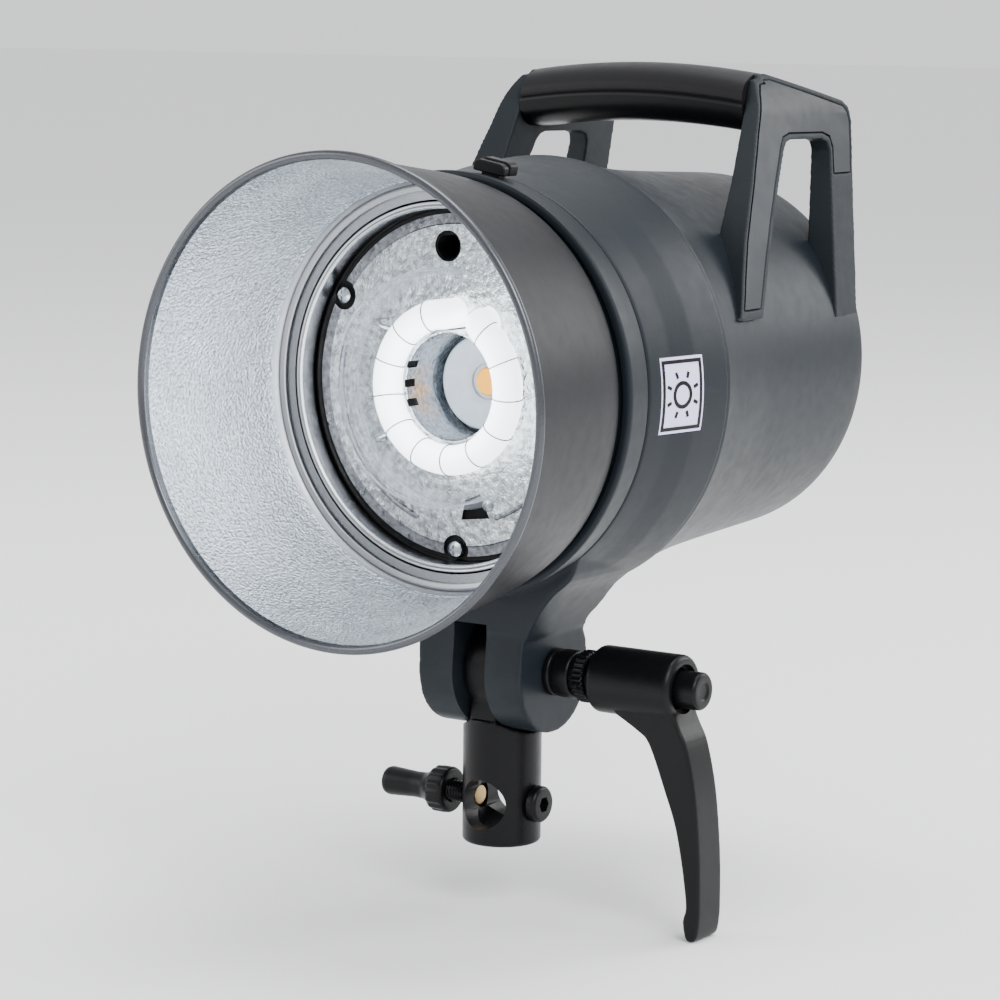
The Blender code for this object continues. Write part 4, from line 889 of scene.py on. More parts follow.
carrier_face = PLATE_Y + 1.6
carrier = turned("plate_carrier_body", rounded([(50, carrier_face), (58.6, carrier_face), (59.2, carrier_face
    - 0.9), (60.5, carrier_face - 0.9), (61.0, carrier_face), (63.4, carrier_face + 0.8), (63.4, -17.3),
    (66.6, -17.3), (66.6, -14.2), (50, -14.2)], 0.4, 3), Y_AXIS, LAMP, 128, BLACK)
stands(carrier, "black_plastic", "plate_carrier")

# Silver front plate: crinkled face, darker stepped edge, notches for the screws
SCREWS = [centre(f"plate_screw_{index + 1}") for index in range(3)]
UMBRELLA = centre("umbrella_tube")


def crinkled(radius, along, angle):
    """Shallow creases pressed into the plate."""
    if radius < 22 or radius > 56.5:
        return radius
    where = Vector((radius * math.cos(angle), radius * math.sin(angle), 0)) * 0.22
    return radius + 0.12 * noise.noise(where)


steps_out = [20.6 + (53.6 - 20.6) * k / 22 for k in range(23)]
plate_face = [(r, PLATE_Y + 0.1 + (1.1 * (31 - r) / 11 if r < 31 else 0.0)) for r in steps_out]
plate = turned("front_plate_body", plate_face + [(54.0, PLATE_Y + 0.5), (57.2, PLATE_Y + 0.5), (57.2, PLATE_Y
    + 1.2), (31, PLATE_Y + 1.2), (20.6, PLATE_Y + 2.3)], Y_AXIS, LAMP, 160, [CRINKLE, CRINKLE_DARK],
    wave=crinkled)
for vertex in plate.data.vertices:
    spot = vertex.co / MM
    radius = math.hypot(spot.x, spot.z - LAMP_Z)
    if 22 < radius < 53.5 and spot.y < PLATE_Y + 1.15:
        vertex.co.y += 0.16 * MM * noise.noise(Vector((spot.x * 0.5, spot.z * 0.5, 2.0)))
for face in plate.data.polygons:
    spot = face.center / MM
    if math.hypot(spot.x, spot.z - LAMP_Z) > 53.8:
        face.material_index = 1
low_y, high_y = PLATE_Y - 4, PLATE_Y + 6
cutters = [rod(f"notch_{index}", 5.0, low_y, high_y, Y_AXIS, (spot.x, 0, spot.z), 40)
           for index, spot in enumerate(SCREWS)]
cutters += [rod(f"end_{index}", 5.6, low_y, high_y, Y_AXIS, around(TUBE_RING, degrees), 40)
            for index, degrees in enumerate(TUBE_ENDS)]
cutters.append(rod("umbrella_cut", 5.2, low_y, high_y, Y_AXIS, (UMBRELLA.x, 0, UMBRELLA.z), 40))
notch = spun(extruded("trapezoid", [(-2.6, LAMP_Z + 36.6), (3.8, LAMP_Z + 38.0), (6.4, LAMP_Z + 44.4),
    (-5.0, LAMP_Z + 45.0)], Y_AXIS, low_y, high_y, BLACK), PLATE_NOTCH_AT)
cutters.append(notch)
sharp_again(cut(plate, *cutters))
stands(plate, "silver", "front_plate")
# A black block of painted shadow fills the floor of the notch.
notch_painted_shadow = spun(block("notch_painted_shadow", (-7, PLATE_Y + 1.5, LAMP_Z + 35), (7, PLATE_Y + 2.4, LAMP_Z + 46),
    SHADOW), PLATE_NOTCH_AT)
extra(notch_painted_shadow, "front_plate")

# Raised ring and pressed strips round the dome
for name, ring_radius, start, end, thick in (("strip_outer", 50.2, -62, 34, 0.8), ("strip_inner", 45.6, -70,
        50, 0.9), ("strip_left", 48.4, 168, 250, 0.8)):
    points = [around(ring_radius, start + (end - start) * k / 40, PLATE_Y - 0.3) for k in range(41)]
    extra(wire(name, points, thick, CRINKLE_DARK, 3), "front_plate")


def cross_screw(name, spot, face_y, radius, slot_name, node, material):
    outline = rounded([(0, face_y - 1.0), (radius * 0.55, face_y - 0.9), (radius, face_y), (radius, face_y
        + 1.6), (radius * 0.5, face_y + 1.6), (radius * 0.5, face_y + 6), (0, face_y + 6)], 0.3, 3,
        closed=False)
    head = turned(name, outline, Y_AXIS, (spot.x, 0, spot.z), 40, material)
    bars = [block("bar_a", (spot.x - radius * 0.6, face_y - 3, spot.z - 0.32), (spot.x + radius * 0.6, face_y
        - 0.1, spot.z + 0.32), material), block("bar_b", (spot.x - 0.32, face_y - 3, spot.z - radius * 0.6),
        (spot.x + 0.32, face_y - 0.11, spot.z + radius * 0.6), material)]
    sharp_again(cut(head, *bars))
    if node:
        return stands(head, slot_name, node)
    return head


for index, spot in enumerate(SCREWS):
    cross_screw(f"plate_screw_{index + 1}_body", spot, PLATE_Y - 0.3, 2.9, "steel",
        f"plate_screw_{index + 1}", STEEL)
extra(cross_screw("notch_screw", around(41.0, 287, 0), PLATE_Y - 0.2, 2.0, "steel", None, STEEL),
    "front_plate")

# Glass dome with ridges round its wall
seat = PLATE_Y - GAP
wall = [(41.2, seat), (41.2, seat - 1.4), (39.2, seat - 2.4)]
for index in range(5):
    y = seat - 4.2 - 2.6 * index
    wall += [(38.6, y), (39.15, y - 0.5), (39.3, y - 0.9), (38.9, y - 1.5), (38.5, y - 1.9)]
outside = wall + [(38.7, -43.4), (38.6, -45.4), (37.9, -47.4), (36.4, -49.2), (34.0, -50.3), (27, -51.6),
    (14, -52.8), (0.0, -53.1)]
inside_wall = [(0.0, -51.5), (14, -51.1), (26, -49.9), (33.4, -48.5), (36.0, -46.4), (36.8, -43.6),
    (36.8, seat)]
dome = turned("glass_dome_body", outside + inside_wall, Y_AXIS, LAMP, 128, [DOME, DOME_RIB], sharp=60)
# Ridge and shoulder faces take the rib glass, whose stronger grazing opacity paints highlight lines.
for face in dome.data.polygons:
    spot = face.center / MM
    radius = math.hypot(spot.x, spot.z - LAMP_Z)
    if (spot.y > -47.6 and radius > 38.9) or (-49.6 < spot.y < -46.6 and radius > 35.2):
        face.material_index = 1
stands(dome, "clear_glass", "glass_dome")

# Flash tube, its turned-back ends, and the trigger wire wrapped round it
tube_points = []
first, last = float(TUBE_ENDS[1]), float(TUBE_ENDS[0]) + 360.0
bend = 6.0
trim_degrees = math.degrees(bend / TUBE_RING)
for index, (degrees, direction) in enumerate(((first, 1), (last, -1))):
    spot = around(TUBE_RING, degrees)
    angle = math.radians(degrees)
    along = Vector((-math.sin(angle), 0, math.cos(angle))) * direction
    leg = [Vector((spot.x, -16.8, spot.z)), Vector((spot.x, TUBE_Y + bend, spot.z))]
    for step in range(1, 6):
        turn = math.radians(15 * step)
        leg.append(Vector((spot.x, TUBE_Y + bend - bend * math.sin(turn), spot.z)) + along * bend
            * (1 - math.cos(turn)))
    if index == 0:
        tube_points += leg
        for step in range(97):
            degrees_here = first + trim_degrees + (last - first - 2 * trim_degrees) * step / 96
            tube_points.append(around(TUBE_RING, degrees_here, TUBE_Y))
    else:
        tube_points += leg[::-1]
tube_piece = wire("flash_tube_body", tube_points, TUBE_RADIUS, TUBE, 7)
stands(tube_piece, "flash_tube", "flash_tube")
for index in range(12):
    degrees = 108 + 27.5 * index
    ring_points = []
    radial = around(1, degrees) - Vector((0, 0, LAMP_Z))
    tangent = Vector((-radial.z, 0, radial.x))
    for step in range(24):
        turn = 2 * math.pi * step / 24
        offset = radial * math.cos(turn) + Vector((0, 1,
            0)) * math.sin(turn) + tangent * 0.10 * math.sin(turn)
        ring_points.append(around(TUBE_RING, degrees, TUBE_Y) + offset * (TUBE_RADIUS + 0.12))
    extra(wire(f"trigger_wrap_{index}", ring_points, 0.22, WIRE, 2, True), "flash_tube")

# Spring clips that hold the dome and the tube
for name, radius, degrees in (("clip_a", 33.2, 146), ("clip_b", 33.4, 214), ("clip_c", 22.0, 236)):
    base = around(radius, degrees, PLATE_Y)
    outward = (around(1, degrees) - Vector((0, 0, LAMP_Z)))
    turn = [base + Vector((0, -0.3, 0)) - outward * 2.4, base + Vector((0, -3.2, 0)) - outward * 1.6,
            base + Vector((0, -5.6, 0)) + outward * 0.2, base + Vector((0, -6.2, 0)) + outward * 1.8,
            base + Vector((0, -4.6, 0)) + outward * 2.9, base + Vector((0, -0.4, 0)) + outward * 3.1]
    extra(wire(name, turn, 0.75, BRIGHT, 3), "front_plate")

# Bright cup with vents in its wall, and the modelling lamp at its floor
CUP_RADIUS, CUP_FRONT, CUP_FLOOR = 18.6, -33.0, -8.4
cup_outline = [(0, CUP_FLOOR), (17.2, CUP_FLOOR), (CUP_RADIUS, CUP_FLOOR - 1.6), (CUP_RADIUS, CUP_FRONT
    + 0.4), (CUP_RADIUS - 0.15, CUP_FRONT + 0.05), (CUP_RADIUS - 0.65, CUP_FRONT + 0.05), (CUP_RADIUS - 0.8,
    CUP_FRONT + 0.4), (CUP_RADIUS - 0.8, CUP_FLOOR - 2.0), (CUP_RADIUS - 1.8, CUP_FLOOR - 1.0), (0, CUP_FLOOR
    - 1.0)]
cup = turned("inner_cup_body", cup_outline, Y_AXIS, LAMP, 96, BRIGHT)
vents = []
for group in (0, 180):
    for index, degrees in enumerate((159, 180, 201)):
        vent = block(f"vent_{group}_{index}", (-1.3, -33.2, LAMP_Z + CUP_RADIUS - 3), (1.3, -28.2, LAMP_Z
            + CUP_RADIUS + 2), SHADOW)
        vents.append(spun(vent, degrees + group))
sharp_again(cut(cup, *vents))
stands(cup, "silver", "inner_cup")
# Black bands of painted shadow behind the vents, so they read as dark openings.
for group in (0, 180):
    builder = bmesh.new()
    rows = [[builder.verts.new(around(radius, degrees + group, y)) for degrees in range(150, 211, 2)]
        for radius, y in ((CUP_RADIUS + 0.05, -32.4), (CUP_RADIUS + 0.45, -32.4), (CUP_RADIUS + 0.45, -27.6),
        (CUP_RADIUS + 0.05, -27.6))]
    for lower, upper in zip(rows, rows[1:] + rows[:1]):
        for step in range(len(lower) - 1):
            builder.faces.new([lower[step], lower[step + 1], upper[step + 1], upper[step]])
    builder.faces.new([row[0] for row in rows])
    builder.faces.new([row[-1] for row in rows])
    extra(finish_mesh(f"vent_painted_shadow_{group}", builder, SHADOW), "inner_cup")
LED_Y = low("led_board").y
led = turned("led_emitter", rounded([(0, LED_Y), (4.4, LED_Y), (4.8, LED_Y + 0.7), (4.8, LED_Y + 1.7),
    (0, LED_Y + 1.7)], 0.4, 4, closed=False), Y_AXIS, LAMP, 64, LED_YELLOW)
stands(led, "led", "led_board")
led_base = turned("led_base", [(4.9, LED_Y + 0.8), (15.2, LED_Y + 0.8), (15.2, LED_Y + 1.7), (4.9, LED_Y
    + 1.7)], Y_AXIS, LAMP, 64, LED_WHITE)
extra(led_base, "led_board")
cone_back = LED_Y + 0.4
cone = turned("led_cone", rounded([(6.0, cone_back), (15.9, cone_back), (15.9, cone_back - 3.6),
    (15.2, cone_back - 4.2), (14.4, cone_back - 4.1), (10.2, cone_back - 2.9), (8.0, cone_back - 2.0),
    (6.0, cone_back - 0.8)], 0.5, 4), Y_AXIS, LAMP, 96, LED_WHITE)
stands(cone, "ceramic", "led_reflector")
# The umbrella tube takes the painted-shadow black, so its bore reads as a dark hole; the tube itself is black
# metal.
umbrella = turned("umbrella_tube_body", rounded([(4.4, PLATE_Y + 0.4), (5.1, PLATE_Y + 0.4),
    (5.1, PANEL_BACK_Y + 1.2), (4.4, PANEL_BACK_Y + 1.2)], 0.25, 3), Y_AXIS, (UMBRELLA.x, 0, UMBRELLA.z), 64,
    SHADOW)
stands(umbrella, "black_metal", "umbrella_tube")

# ---------------------------------------------------------------- bracket

SOCKET_RADIUS = high("spigot_socket").x
pivot_z = PIVOT.z
socket = turned("spigot_socket_body", rounded([(0, 32), (8.15, 32), (8.15, 0.5), (8.7, 0.02), (SOCKET_RADIUS
    - 1.0, 0.02), (SOCKET_RADIUS - 0.05, 1.0), (SOCKET_RADIUS - 0.05, 44.0), (0, 44.0)], 0.3, 3,
    closed=False), Z_AXIS, (0, 0, 0), 112, COATED)
relief = rod("relief", 21.9, -16, 16, X_AXIS, PIVOT, 96)
tongue_outline = [(12.6, 36), (12.2, 46)] + arc((0, pivot_z), 15.95, -42, 222, 60) + [(-12.2, 46),
    (-12.6, 36)]
tongue = extruded("tongue", tongue_outline, X_AXIS, -5.3, 5.3, COATED)
cut(socket, relief)
join(socket, tongue)
melted(socket, 0.4, 6, 0.5, 0.35)
cut(socket, rod("cross_bore", 8.7, -16, 16, Y_AXIS, CROSS, 64),
    rod("screw_bore", 4.3, -16, 16, X_AXIS, CROSS, 48),
    rod("pivot_bore", 4.3, -8, 8, X_AXIS, PIVOT, 40))
sharp_again(socket, 36)
stands(socket, "black_metal", "spigot_socket")

face = SOCKET_RADIUS + GAP
plug = turned("blank_screw_body", rounded([(0, 8.6), (4.0, 8.6), (4.0, face), (6.3, face), (6.3, face + 2.6),
    (5.4, face + 3.5), (0, face + 3.6)], 0.4, 3, closed=False), X_AXIS, CROSS, 64, COATED)
sharp_again(cut(plug, rod("hexagon", 2.8, face + 1.0, face + 5, X_AXIS, CROSS, 6)))
stands(plug, "black_metal", "blank_screw")
pad = turned("lock_pad_body", rounded([(0, -10.4), (3.4, -10.4), (3.4, -8.8), (0, -8.8)], 0.3, 3,
    closed=False), X_AXIS, CROSS, 48, BRASS)
stands(pad, "brass", "lock_pad")


def threaded(name, radius, depth, pitch, start, end, material, centre_mm, sides=40):
    """A rod with a real helical thread along X."""
    rows = max(8, int((end - start) / pitch * 8))
    builder = bmesh.new()
    rings = []
    for row in range(rows + 1):
        along = start + (end - start) * row / rows
        ring_ = []
        for step in range(sides):
            angle = 2 * math.pi * step / sides
            phase = (along / pitch - step / sides) % 1.0
            here = radius - depth * abs(2 * phase - 1)
            ring_.append(builder.verts.new(Vector(centre_mm) + Vector((along, math.cos(angle) * here,
                math.sin(angle) * here))))
        rings.append(ring_)
    for lower, upper in zip(rings, rings[1:]):
        for step in range(sides):
            after = (step + 1) % sides
            builder.faces.new([lower[step], lower[after], upper[after], upper[step]])
    builder.faces.new(rings[0])
    builder.faces.new(rings[-1])
    return finish_mesh(name, builder, material, 60)


stud = threaded("lock_stud_body", 3.8, 0.55, 1.25, -31.0, -11.0, SATIN, CROSS)
stands(stud, "black_metal", "lock_stud")


def ribbed(radius, along, angle):
    """Shallow grip ribs round the knob's hub."""
    if -29.0 < along < -21.6 and radius > 7:
        return radius + 0.22 * math.cos(angle * 16) - 0.2
    return radius


knob_outline = rounded([(0, -48.2), (4.6, -48.2), (5.1, -46.6), (4.5, -36), (4.7, -31.5), (6.0, -29.0),
    (8.1, -27.0), (8.15, -21.6), (7.4, -20.35), (4.0, -20.35), (4.0, -31.6), (0, -31.6)], 0.9, 4,
    closed=False)
knob = turned("lock_knob_body", knob_outline, X_AXIS, CROSS, 96, BLACK, wave=ribbed, sharp=40)
stands(knob, "black_plastic", "lock_knob")

bolt = turned("tilt_bolt_body", rounded([(0, -20.8), (6.1, -20.8), (6.2, -16.6), (4.0, -16.6), (4.0, 48.6),
    (0, 48.6)], 0.4, 3, closed=False), X_AXIS, PIVOT, 48, SATIN)
sharp_again(cut(bolt, rod("bolt_hex", 2.9, -22, -18.4, X_AXIS, PIVOT, 6)))
stands(bolt, "steel", "tilt_bolt")
clamp_collar = turned("clamp_collar_body", rounded([(4.3, 21.3), (8.2, 21.3), (8.2, 23.0), (7.8, 23.4),
    (7.8, 24.6), (8.2, 25.0), (8.2, 30.4), (7.7, 31.0), (4.3, 31.0)], 0.3, 3), X_AXIS, PIVOT, 80, BLACK)
stands(clamp_collar, "black_plastic", "clamp_collar")


def knurled(radius, along, angle):
    if radius > 8.4:
        return radius - 0.35 + 0.35 * math.cos(angle * 30)
    return radius


insert = turned("clamp_insert_body", rounded([(0, 58.4), (6.8, 58.4), (6.8, 37.6), (8.0, 37.4), (9.0, 36.8),
    (9.0, 33.5), (8.2, 33.0), (7.4, 32.8), (7.4, 31.3), (4.3, 31.3), (4.3, 50.6), (0, 50.6)], 0.2, 2,
    closed=False), X_AXIS, PIVOT, 180, SATIN, wave=knurled, sharp=28)
stands(insert, "black_metal", "clamp_insert")

# Lever: hub and arm melted together, then bored
hub = turned("clamp_lever_body", rounded([(0, 39.9), (10.3, 39.9), (11.4, 41.0), (11.4, 71.2), (10.1, 72.5),
    (0, 72.5)], 0.5, 3, closed=False), X_AXIS, PIVOT, 96, BLACK)
outer_side = curve_through([(70.6, 58.6), (74.6, 49.8), (77.9, 43.0), (81.4, 27.4), (83.4, 7.1),
    (83.8, -10.0), (83.5, -16.5), (82.6, -20.8), (80.6, -22.0), (78.7, -21.2), (77.5, -15.5), (78.6, -10.6),
    (77.6, -2), (76.0, 7.2), (73.6, 17.3), (69.7, 27.5), (63.4, 42.5), (58.6, 46.8), (49.2, 51.8)], 4)
arm = extruded("arm", outer_side, Y_AXIS, -7.5, 7.5, BLACK)
bevelled(arm, 2.4, 3, 50)
applied(arm)
join(hub, arm)
melted(hub, 0.4, 8, 0.5, 0.35)
cut(hub, rod("lever_bore", 7.1, 39, 70.3, X_AXIS, PIVOT, 64), rod("button_bore", 8.3, 70.2, 80, X_AXIS, PIVOT,
    64))
sharp_again(hub, 36)
stands(hub, "black_plastic", "clamp_lever")
button = turned("lever_button_body", rounded([(0, 69.2), (6.4, 69.2), (6.4, 79.2), (5.6, 80.05), (3.2, 80.05),
    (2.6, 79.5), (0, 79.5)], 0.5, 4, closed=False), X_AXIS, PIVOT, 80, BLACK)
stands(button, "black_plastic", "lever_button")
spring_points = [Vector((59.6 + 4.0 * k / 96, 4.6 * math.cos(k * 0.26), pivot_z + 4.6 * math.sin(k * 0.26)))
                 for k in range(97)]
stands(wire("lever_spring_body", spring_points, 0.5, STEEL, 3), "steel", "lever_spring")
for side, word in ((-1, "left"), (1, "right")):
    near, far = sorted((side * 5.6, side * 6.3))
    washer = turned(f"washer_{word}", rounded([(13.6, near), (13.6, far), (4.6, far), (4.6, near)], 0.15, 2),
        X_AXIS, PIVOT, 80, FIBRE)
    stands(washer, "fibre", f"friction_washer_{word}")

# ---------------------------------------------------------------- rear panel

CONTROL_Z = centre("control_knob").z
panel = turned("rear_panel_body", rounded([(0, PANEL_BACK_Y - 3), (59.1, PANEL_BACK_Y - 3),
    (59.1, PANEL_BACK_Y - 0.2), (57.4, PANEL_BACK_Y - 0.05), (56.6, PANEL_BACK_Y - 0.7), (55.8, PANEL_BACK_Y
    - 0.05), (0, PANEL_BACK_Y - 0.05)], 0.3, 3, closed=False), Y_AXIS, LAMP, 128, BLACK_ROUGH)
openings = [rod("tube_exit", 5.6, PANEL_BACK_Y - 5, PANEL_BACK_Y + 2, Y_AXIS, (UMBRELLA.x, 0, UMBRELLA.z),
    40), rod("shaft", 4.0, PANEL_BACK_Y - 5, PANEL_BACK_Y + 2, Y_AXIS, (0, 0, CONTROL_Z), 40)]
for node, margin in (("display_window", 0.3), ("mains_inlet", 0.3), ("rocker_switch", 0.4)):
    a, b = low(node), high(node)
    openings.append(block("opening", (a.x - margin, PANEL_BACK_Y - 5, a.z - margin), (b.x + margin,
        PANEL_BACK_Y + 2, b.z + margin), BLACK))
for node, radius in [("fuse_cap", 6.3), ("sync_socket", 4.3)] + [(f"menu_button_{k}", 4.8) for k in (1, 2,
        3)]:
    spot = centre(node)
    openings.append(rod("opening", radius, PANEL_BACK_Y - 5, PANEL_BACK_Y + 2, Y_AXIS, (spot.x, 0, spot.z),
        40))
sharp_again(cut(panel, *openings))
stands(panel, "black_plastic", "rear_panel")


def knob_ribs(radius, along, angle):
    if PANEL_BACK_Y + 2.2 < along < PANEL_BACK_Y + 10.6 and radius > 11:
        return radius - 0.3 + 0.3 * math.cos(angle * 36)
    return radius


dial = turned("control_knob_body", rounded([(0, 122.5), (3.4, 122.5), (3.4, PANEL_BACK_Y + 0.9),
    (12.5, PANEL_BACK_Y + 0.9), (12.7, PANEL_BACK_Y + 2), (12.0, PANEL_BACK_Y + 10.8), (11.0, PANEL_BACK_Y
    + 11.9), (9.0, PANEL_BACK_Y + 11.9), (8.2, PANEL_BACK_Y + 11.2), (0, PANEL_BACK_Y + 11.2)], 0.4, 3,
    closed=False), Y_AXIS, (0, 0, CONTROL_Z), 216, BLACK, wave=knob_ribs, sharp=40)
stands(dial, "black_plastic", "control_knob")
pointer = bevelled(block("knob_pointer", (-0.5, PANEL_BACK_Y + 10.9, CONTROL_Z + 3.2), (0.5, PANEL_BACK_Y
    + 11.6, CONTROL_Z + 7.9), PRINT), 0.15, 2)
extra(pointer, "control_knob")
for index in range(3):
    node = f"menu_button_{index + 1}"
    spot = centre(node)
    cap = turned(f"{node}_body", rounded([(0, low(node).y), (4.4, low(node).y), (4.4, high(node).y - 0.5),
        (3.9, high(node).y - 0.02), (2.4, high(node).y - 0.3), (0, high(node).y - 0.4)], 0.4, 4,
        closed=False), Y_AXIS, (spot.x, 0, spot.z), 64, GREY)
    stands(cap, "button_grey", node)
for index in range(3):
    spot = centre(f"rear_screw_{index + 1}")
    top = high(f"rear_screw_{index + 1}").y
    head = turned(f"rear_screw_{index + 1}_body", rounded([(0, PANEL_BACK_Y - 5), (1.5, PANEL_BACK_Y - 5),
        (1.5, PANEL_BACK_Y + 0.3), (3.0, PANEL_BACK_Y + 0.3), (2.7, top - 0.5), (0, top)], 0.4, 3,
        closed=False), Y_AXIS, (spot.x, 0, spot.z), 40, STEEL)
    bars = [block("bar_a", (spot.x - 1.7, top - 1.1, spot.z - 0.3), (spot.x + 1.7, top + 1, spot.z + 0.3),
        STEEL), block("bar_b", (spot.x - 0.3, top - 1.09, spot.z - 1.7), (spot.x + 0.3, top + 1, spot.z
        + 1.7), STEEL)]
    sharp_again(cut(head, *bars))
    stands(head, "steel", f"rear_screw_{index + 1}")


# Printed marks: a scale round the knob and bars of the display's digits
def printed(name, x, z, width, height, degrees, face_y, material, like):
    turn = Matrix.Rotation(math.radians(degrees), 4, "Y")
    mark = block(name, (-width / 2, 0, -height / 2), (width / 2, 0.12, height / 2), material)
    mark.data.transform(Matrix.Translation(Vector((x, face_y, z)) * MM) @ turn)
    extra(mark, like)


for index in range(11):
    degrees = -130 + 26 * index
    angle = math.radians(degrees)
    printed(f"scale_{index}", 17.0 * math.sin(angle), CONTROL_Z + 17.0 * math.cos(angle), 0.6, 3.2
        if index % 5 == 0 else 2.0, degrees, PANEL_BACK_Y - 0.06, PRINT, "rear_panel")
window_low, window_high = low("display_window"), high("display_window")
glass = bevelled(block("display_window_body", (window_low.x + 0.1, window_low.y, window_low.z + 0.1),
                       (window_high.x - 0.1, window_high.y, window_high.z - 0.1), SMOKED), 0.5, 3)
stands(glass, "smoked_window", "display_window")
SEGMENTS = {"5": "acdfg", "0": "abcdef"}
SEGMENT_PLACES = {"a": (0, 6.2, 0), "g": (0, 0, 0), "d": (0, -6.2, 0), "f": (1, 3.1, 90), "b": (-1, 3.1, 90),
                  "e": (1, -3.1, 90), "c": (-1, -3.1, 90)}
for place, digit in enumerate("50"):
    for segment in SEGMENTS[digit]:
        across_, up, turn = SEGMENT_PLACES[segment]
        printed(f"digit_{place}_{segment}", 6.5 - 13 * place + across_ * 3.3, (window_low.z + window_high.z)
            / 2 + up, 4.6, 1.0, turn, window_high.y - 0.05, DIGITS, "display_window")
inlet_low, inlet_high = low("mains_inlet"), high("mains_inlet")
inlet = bevelled(block("mains_inlet_body", tuple(inlet_low + Vector((0.05, 0, 0.05))), tuple(inlet_high
    - Vector((0.05, 0, 0.05))), BLACK), 1.0, 3)
applied(inlet)
well = extruded("well", rounded([(inlet_low.x + 2, inlet_low.z + 2.5), (inlet_high.x - 2, inlet_low.z + 2.5),
    (inlet_high.x - 2, inlet_high.z - 6), (inlet_high.x - 5.5, inlet_high.z - 2.5), (inlet_low.x + 5.5,
    inlet_high.z - 2.5), (inlet_low.x + 2, inlet_high.z - 6)], 1.2, 4), Y_AXIS, inlet_high.y - 17,
    inlet_high.y + 3, BLACK)
sharp_again(cut(inlet, well))
stands(inlet, "black_plastic", "mains_inlet")
for index, (x, z) in enumerate(((-22, -38), (-15, -33.5), (-8, -38))):
    pin = bevelled(block(f"inlet_pin_{index}", (x - 1, PANEL_BACK_Y - 16, LAMP_Z + z - 2),
        (x + 1, PANEL_BACK_Y - 2, LAMP_Z + z + 2), BRASS), 0.5, 3)
    extra(pin, "mains_inlet")
rocker_low, rocker_high = low("rocker_switch"), high("rocker_switch")
rocker_outline = [(rocker_low.y, rocker_low.z + 0.2), (rocker_high.y - 1.6, rocker_low.z + 0.1),
    (rocker_high.y - 0.1, rocker_low.z + 0.4), (rocker_high.y - 1.9, (rocker_low.z + rocker_high.z) / 2),
    (rocker_high.y - 1.2, rocker_high.z - 0.4), (rocker_high.y - 2.6, rocker_high.z - 0.1), (rocker_low.y,
    rocker_high.z - 0.2)]
rocker = extruded("rocker_switch_body", rounded(rocker_outline, 0.6, 4), X_AXIS, rocker_low.x + 0.1,
    rocker_high.x - 0.1, ROCKER)
bevelled(rocker, 0.35, 2)
stands(rocker, "rocker", "rocker_switch")
for node, material, slot_name in (("fuse_cap", BLACK, "black_plastic"), ("sync_socket", STEEL, "steel")):
    a, b = low(node), high(node)
    spot, radius = (a + b) / 2, (b.x - a.x) / 2
    neck = min(radius - 0.2, 6.0 if node == "fuse_cap" else 4.0)
    cap = turned(f"{node}_body", rounded([(0, a.y), (neck, a.y), (neck, PANEL_BACK_Y + 0.3), (radius - 0.05,
        PANEL_BACK_Y + 0.3), (radius - 0.05, b.y - 0.6), (radius - 0.7, b.y - 0.02), (0, b.y - 0.02)], 0.4, 3,
        closed=False), Y_AXIS, (spot.x, 0, spot.z), 64, material)
    if node == "fuse_cap":
        tool = block("slot", (spot.x - radius * 0.7, b.y - 0.9, spot.z - 0.6), (spot.x + radius * 0.7, b.y
            + 2, spot.z + 0.6), BLACK)
    else:
        tool = rod("jack", 1.8, b.y - 6, b.y + 2, Y_AXIS, (spot.x, 0, spot.z), 40)
    sharp_again(cut(cap, tool))
    stands(cap, slot_name, node)

# ---------------------------------------------------------------- pieces inside: CAD shape, better finish

for node, material in {"tube_socket": CERAMIC, "led_heatsink": ALUMINIUM, "chassis": STEEL,
        "capacitor_left": CAPACITOR, "capacitor_right": CAPACITOR, "main_board": BOARD,
        "transformer": FERRITE, "fan_frame": BLACK, "fan_rotor": BLACK}.items():
    for material_slot in frame["nodes"][node].material_slots:
        material_slot.material = material

# ---------------------------------------------------------------- floor, light, camera

FLOOR_Z = cad_box[0][2] - 0.0008


def pale(name, colour):
    material, tree, shader = nodes_of(name)
    where = place_coordinates(tree)
    cloud = noise_node(tree, where, 3.0, 2.0)
    base = blend_colour(tree, cloud, tuple(part * 0.985 for part in colour), colour)
    tree.links.new(base, shader.inputs["Base Color"])
    shader.inputs["Roughness"].default_value = 0.9
    return material


bpy.ops.mesh.primitive_plane_add(size=30, location=(0, 0, FLOOR_Z))
floor = bpy.context.object
floor.name = "floor"
floor.data.materials.append(pale("m_floor", (0.93, 0.93, 0.935)))

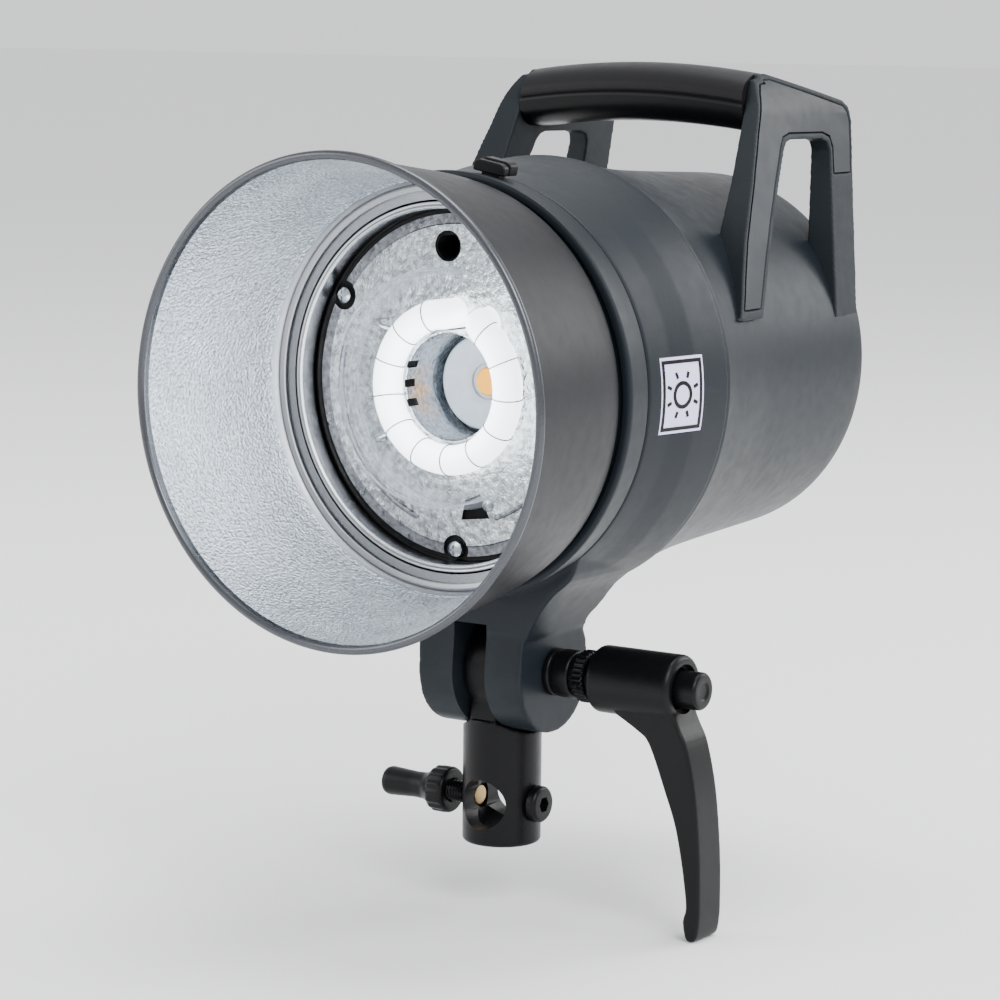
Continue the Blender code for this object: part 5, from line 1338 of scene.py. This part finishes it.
world = bpy.data.worlds.new("studio")
bpy.context.scene.world = world
world.use_nodes = True
world.node_tree.nodes["Background"].inputs["Color"].default_value = (0.97, 0.98, 1.0, 1)
world.node_tree.nodes["Background"].inputs["Strength"].default_value = 1.15


def softbox(name, place, target, size, power, colour=(1, 1, 1)):
    data = bpy.data.lights.new(name, "AREA")
    data.shape = "RECTANGLE"
    data.size, data.size_y = size
    data.energy = power
    data.color = colour
    light = bpy.data.objects.new(name, data)
    bpy.context.collection.objects.link(light)
    light.location = place
    light.rotation_euler = (Vector(target) - Vector(place)).to_track_quat("-Z", "Y").to_euler()
    return light


softbox("key", (1.5, -0.9, 1.5), (0, 0, 0.15), (1.0, 1.0), 34)
softbox("left_fill", (-1.5, -1.2, 0.8), (0, 0, 0.15), (1.0, 1.2), 14)
softbox("top", (0.1, 0.3, 1.9), (0, 0, 0.15), (1.2, 1.0), 30)
softbox("back_rim", (0.9, 1.6, 0.9), (0, 0, 0.15), (0.8, 1.0), 16)

lamp = bpy.data.lights.new("tube_light", "POINT")
lamp.energy = 0.16
lamp.shadow_soft_size = 0.03
lamp.color = (0.9, 0.95, 1.0)
lamp_object = bpy.data.objects.new("tube_light", lamp)
bpy.context.collection.objects.link(lamp_object)
lamp_object.location = (0, -0.062, LAMP_Z * MM)

CAMERA_PLACE = Vector((0.66025, -0.97685, 0.2863))
CAMERA_RIGHT = Vector((0.82687, 0.56231, 0.01000))
CAMERA_FORWARD = Vector((-0.55554, 0.81943, -0.14111)).normalized()
camera_data = bpy.data.cameras.new("camera")
camera_data.lens = 126.0
camera_data.sensor_width = 36.0
camera_data.clip_start = 0.05
camera = bpy.data.objects.new("camera", camera_data)
bpy.context.collection.objects.link(camera)
right = (CAMERA_RIGHT - CAMERA_FORWARD * CAMERA_RIGHT.dot(CAMERA_FORWARD)).normalized()
up = right.cross(CAMERA_FORWARD)
camera.matrix_world = Matrix.Translation(CAMERA_PLACE) @ Matrix((right, up,
    -CAMERA_FORWARD)).transposed().to_4x4()
bpy.context.scene.camera = camera
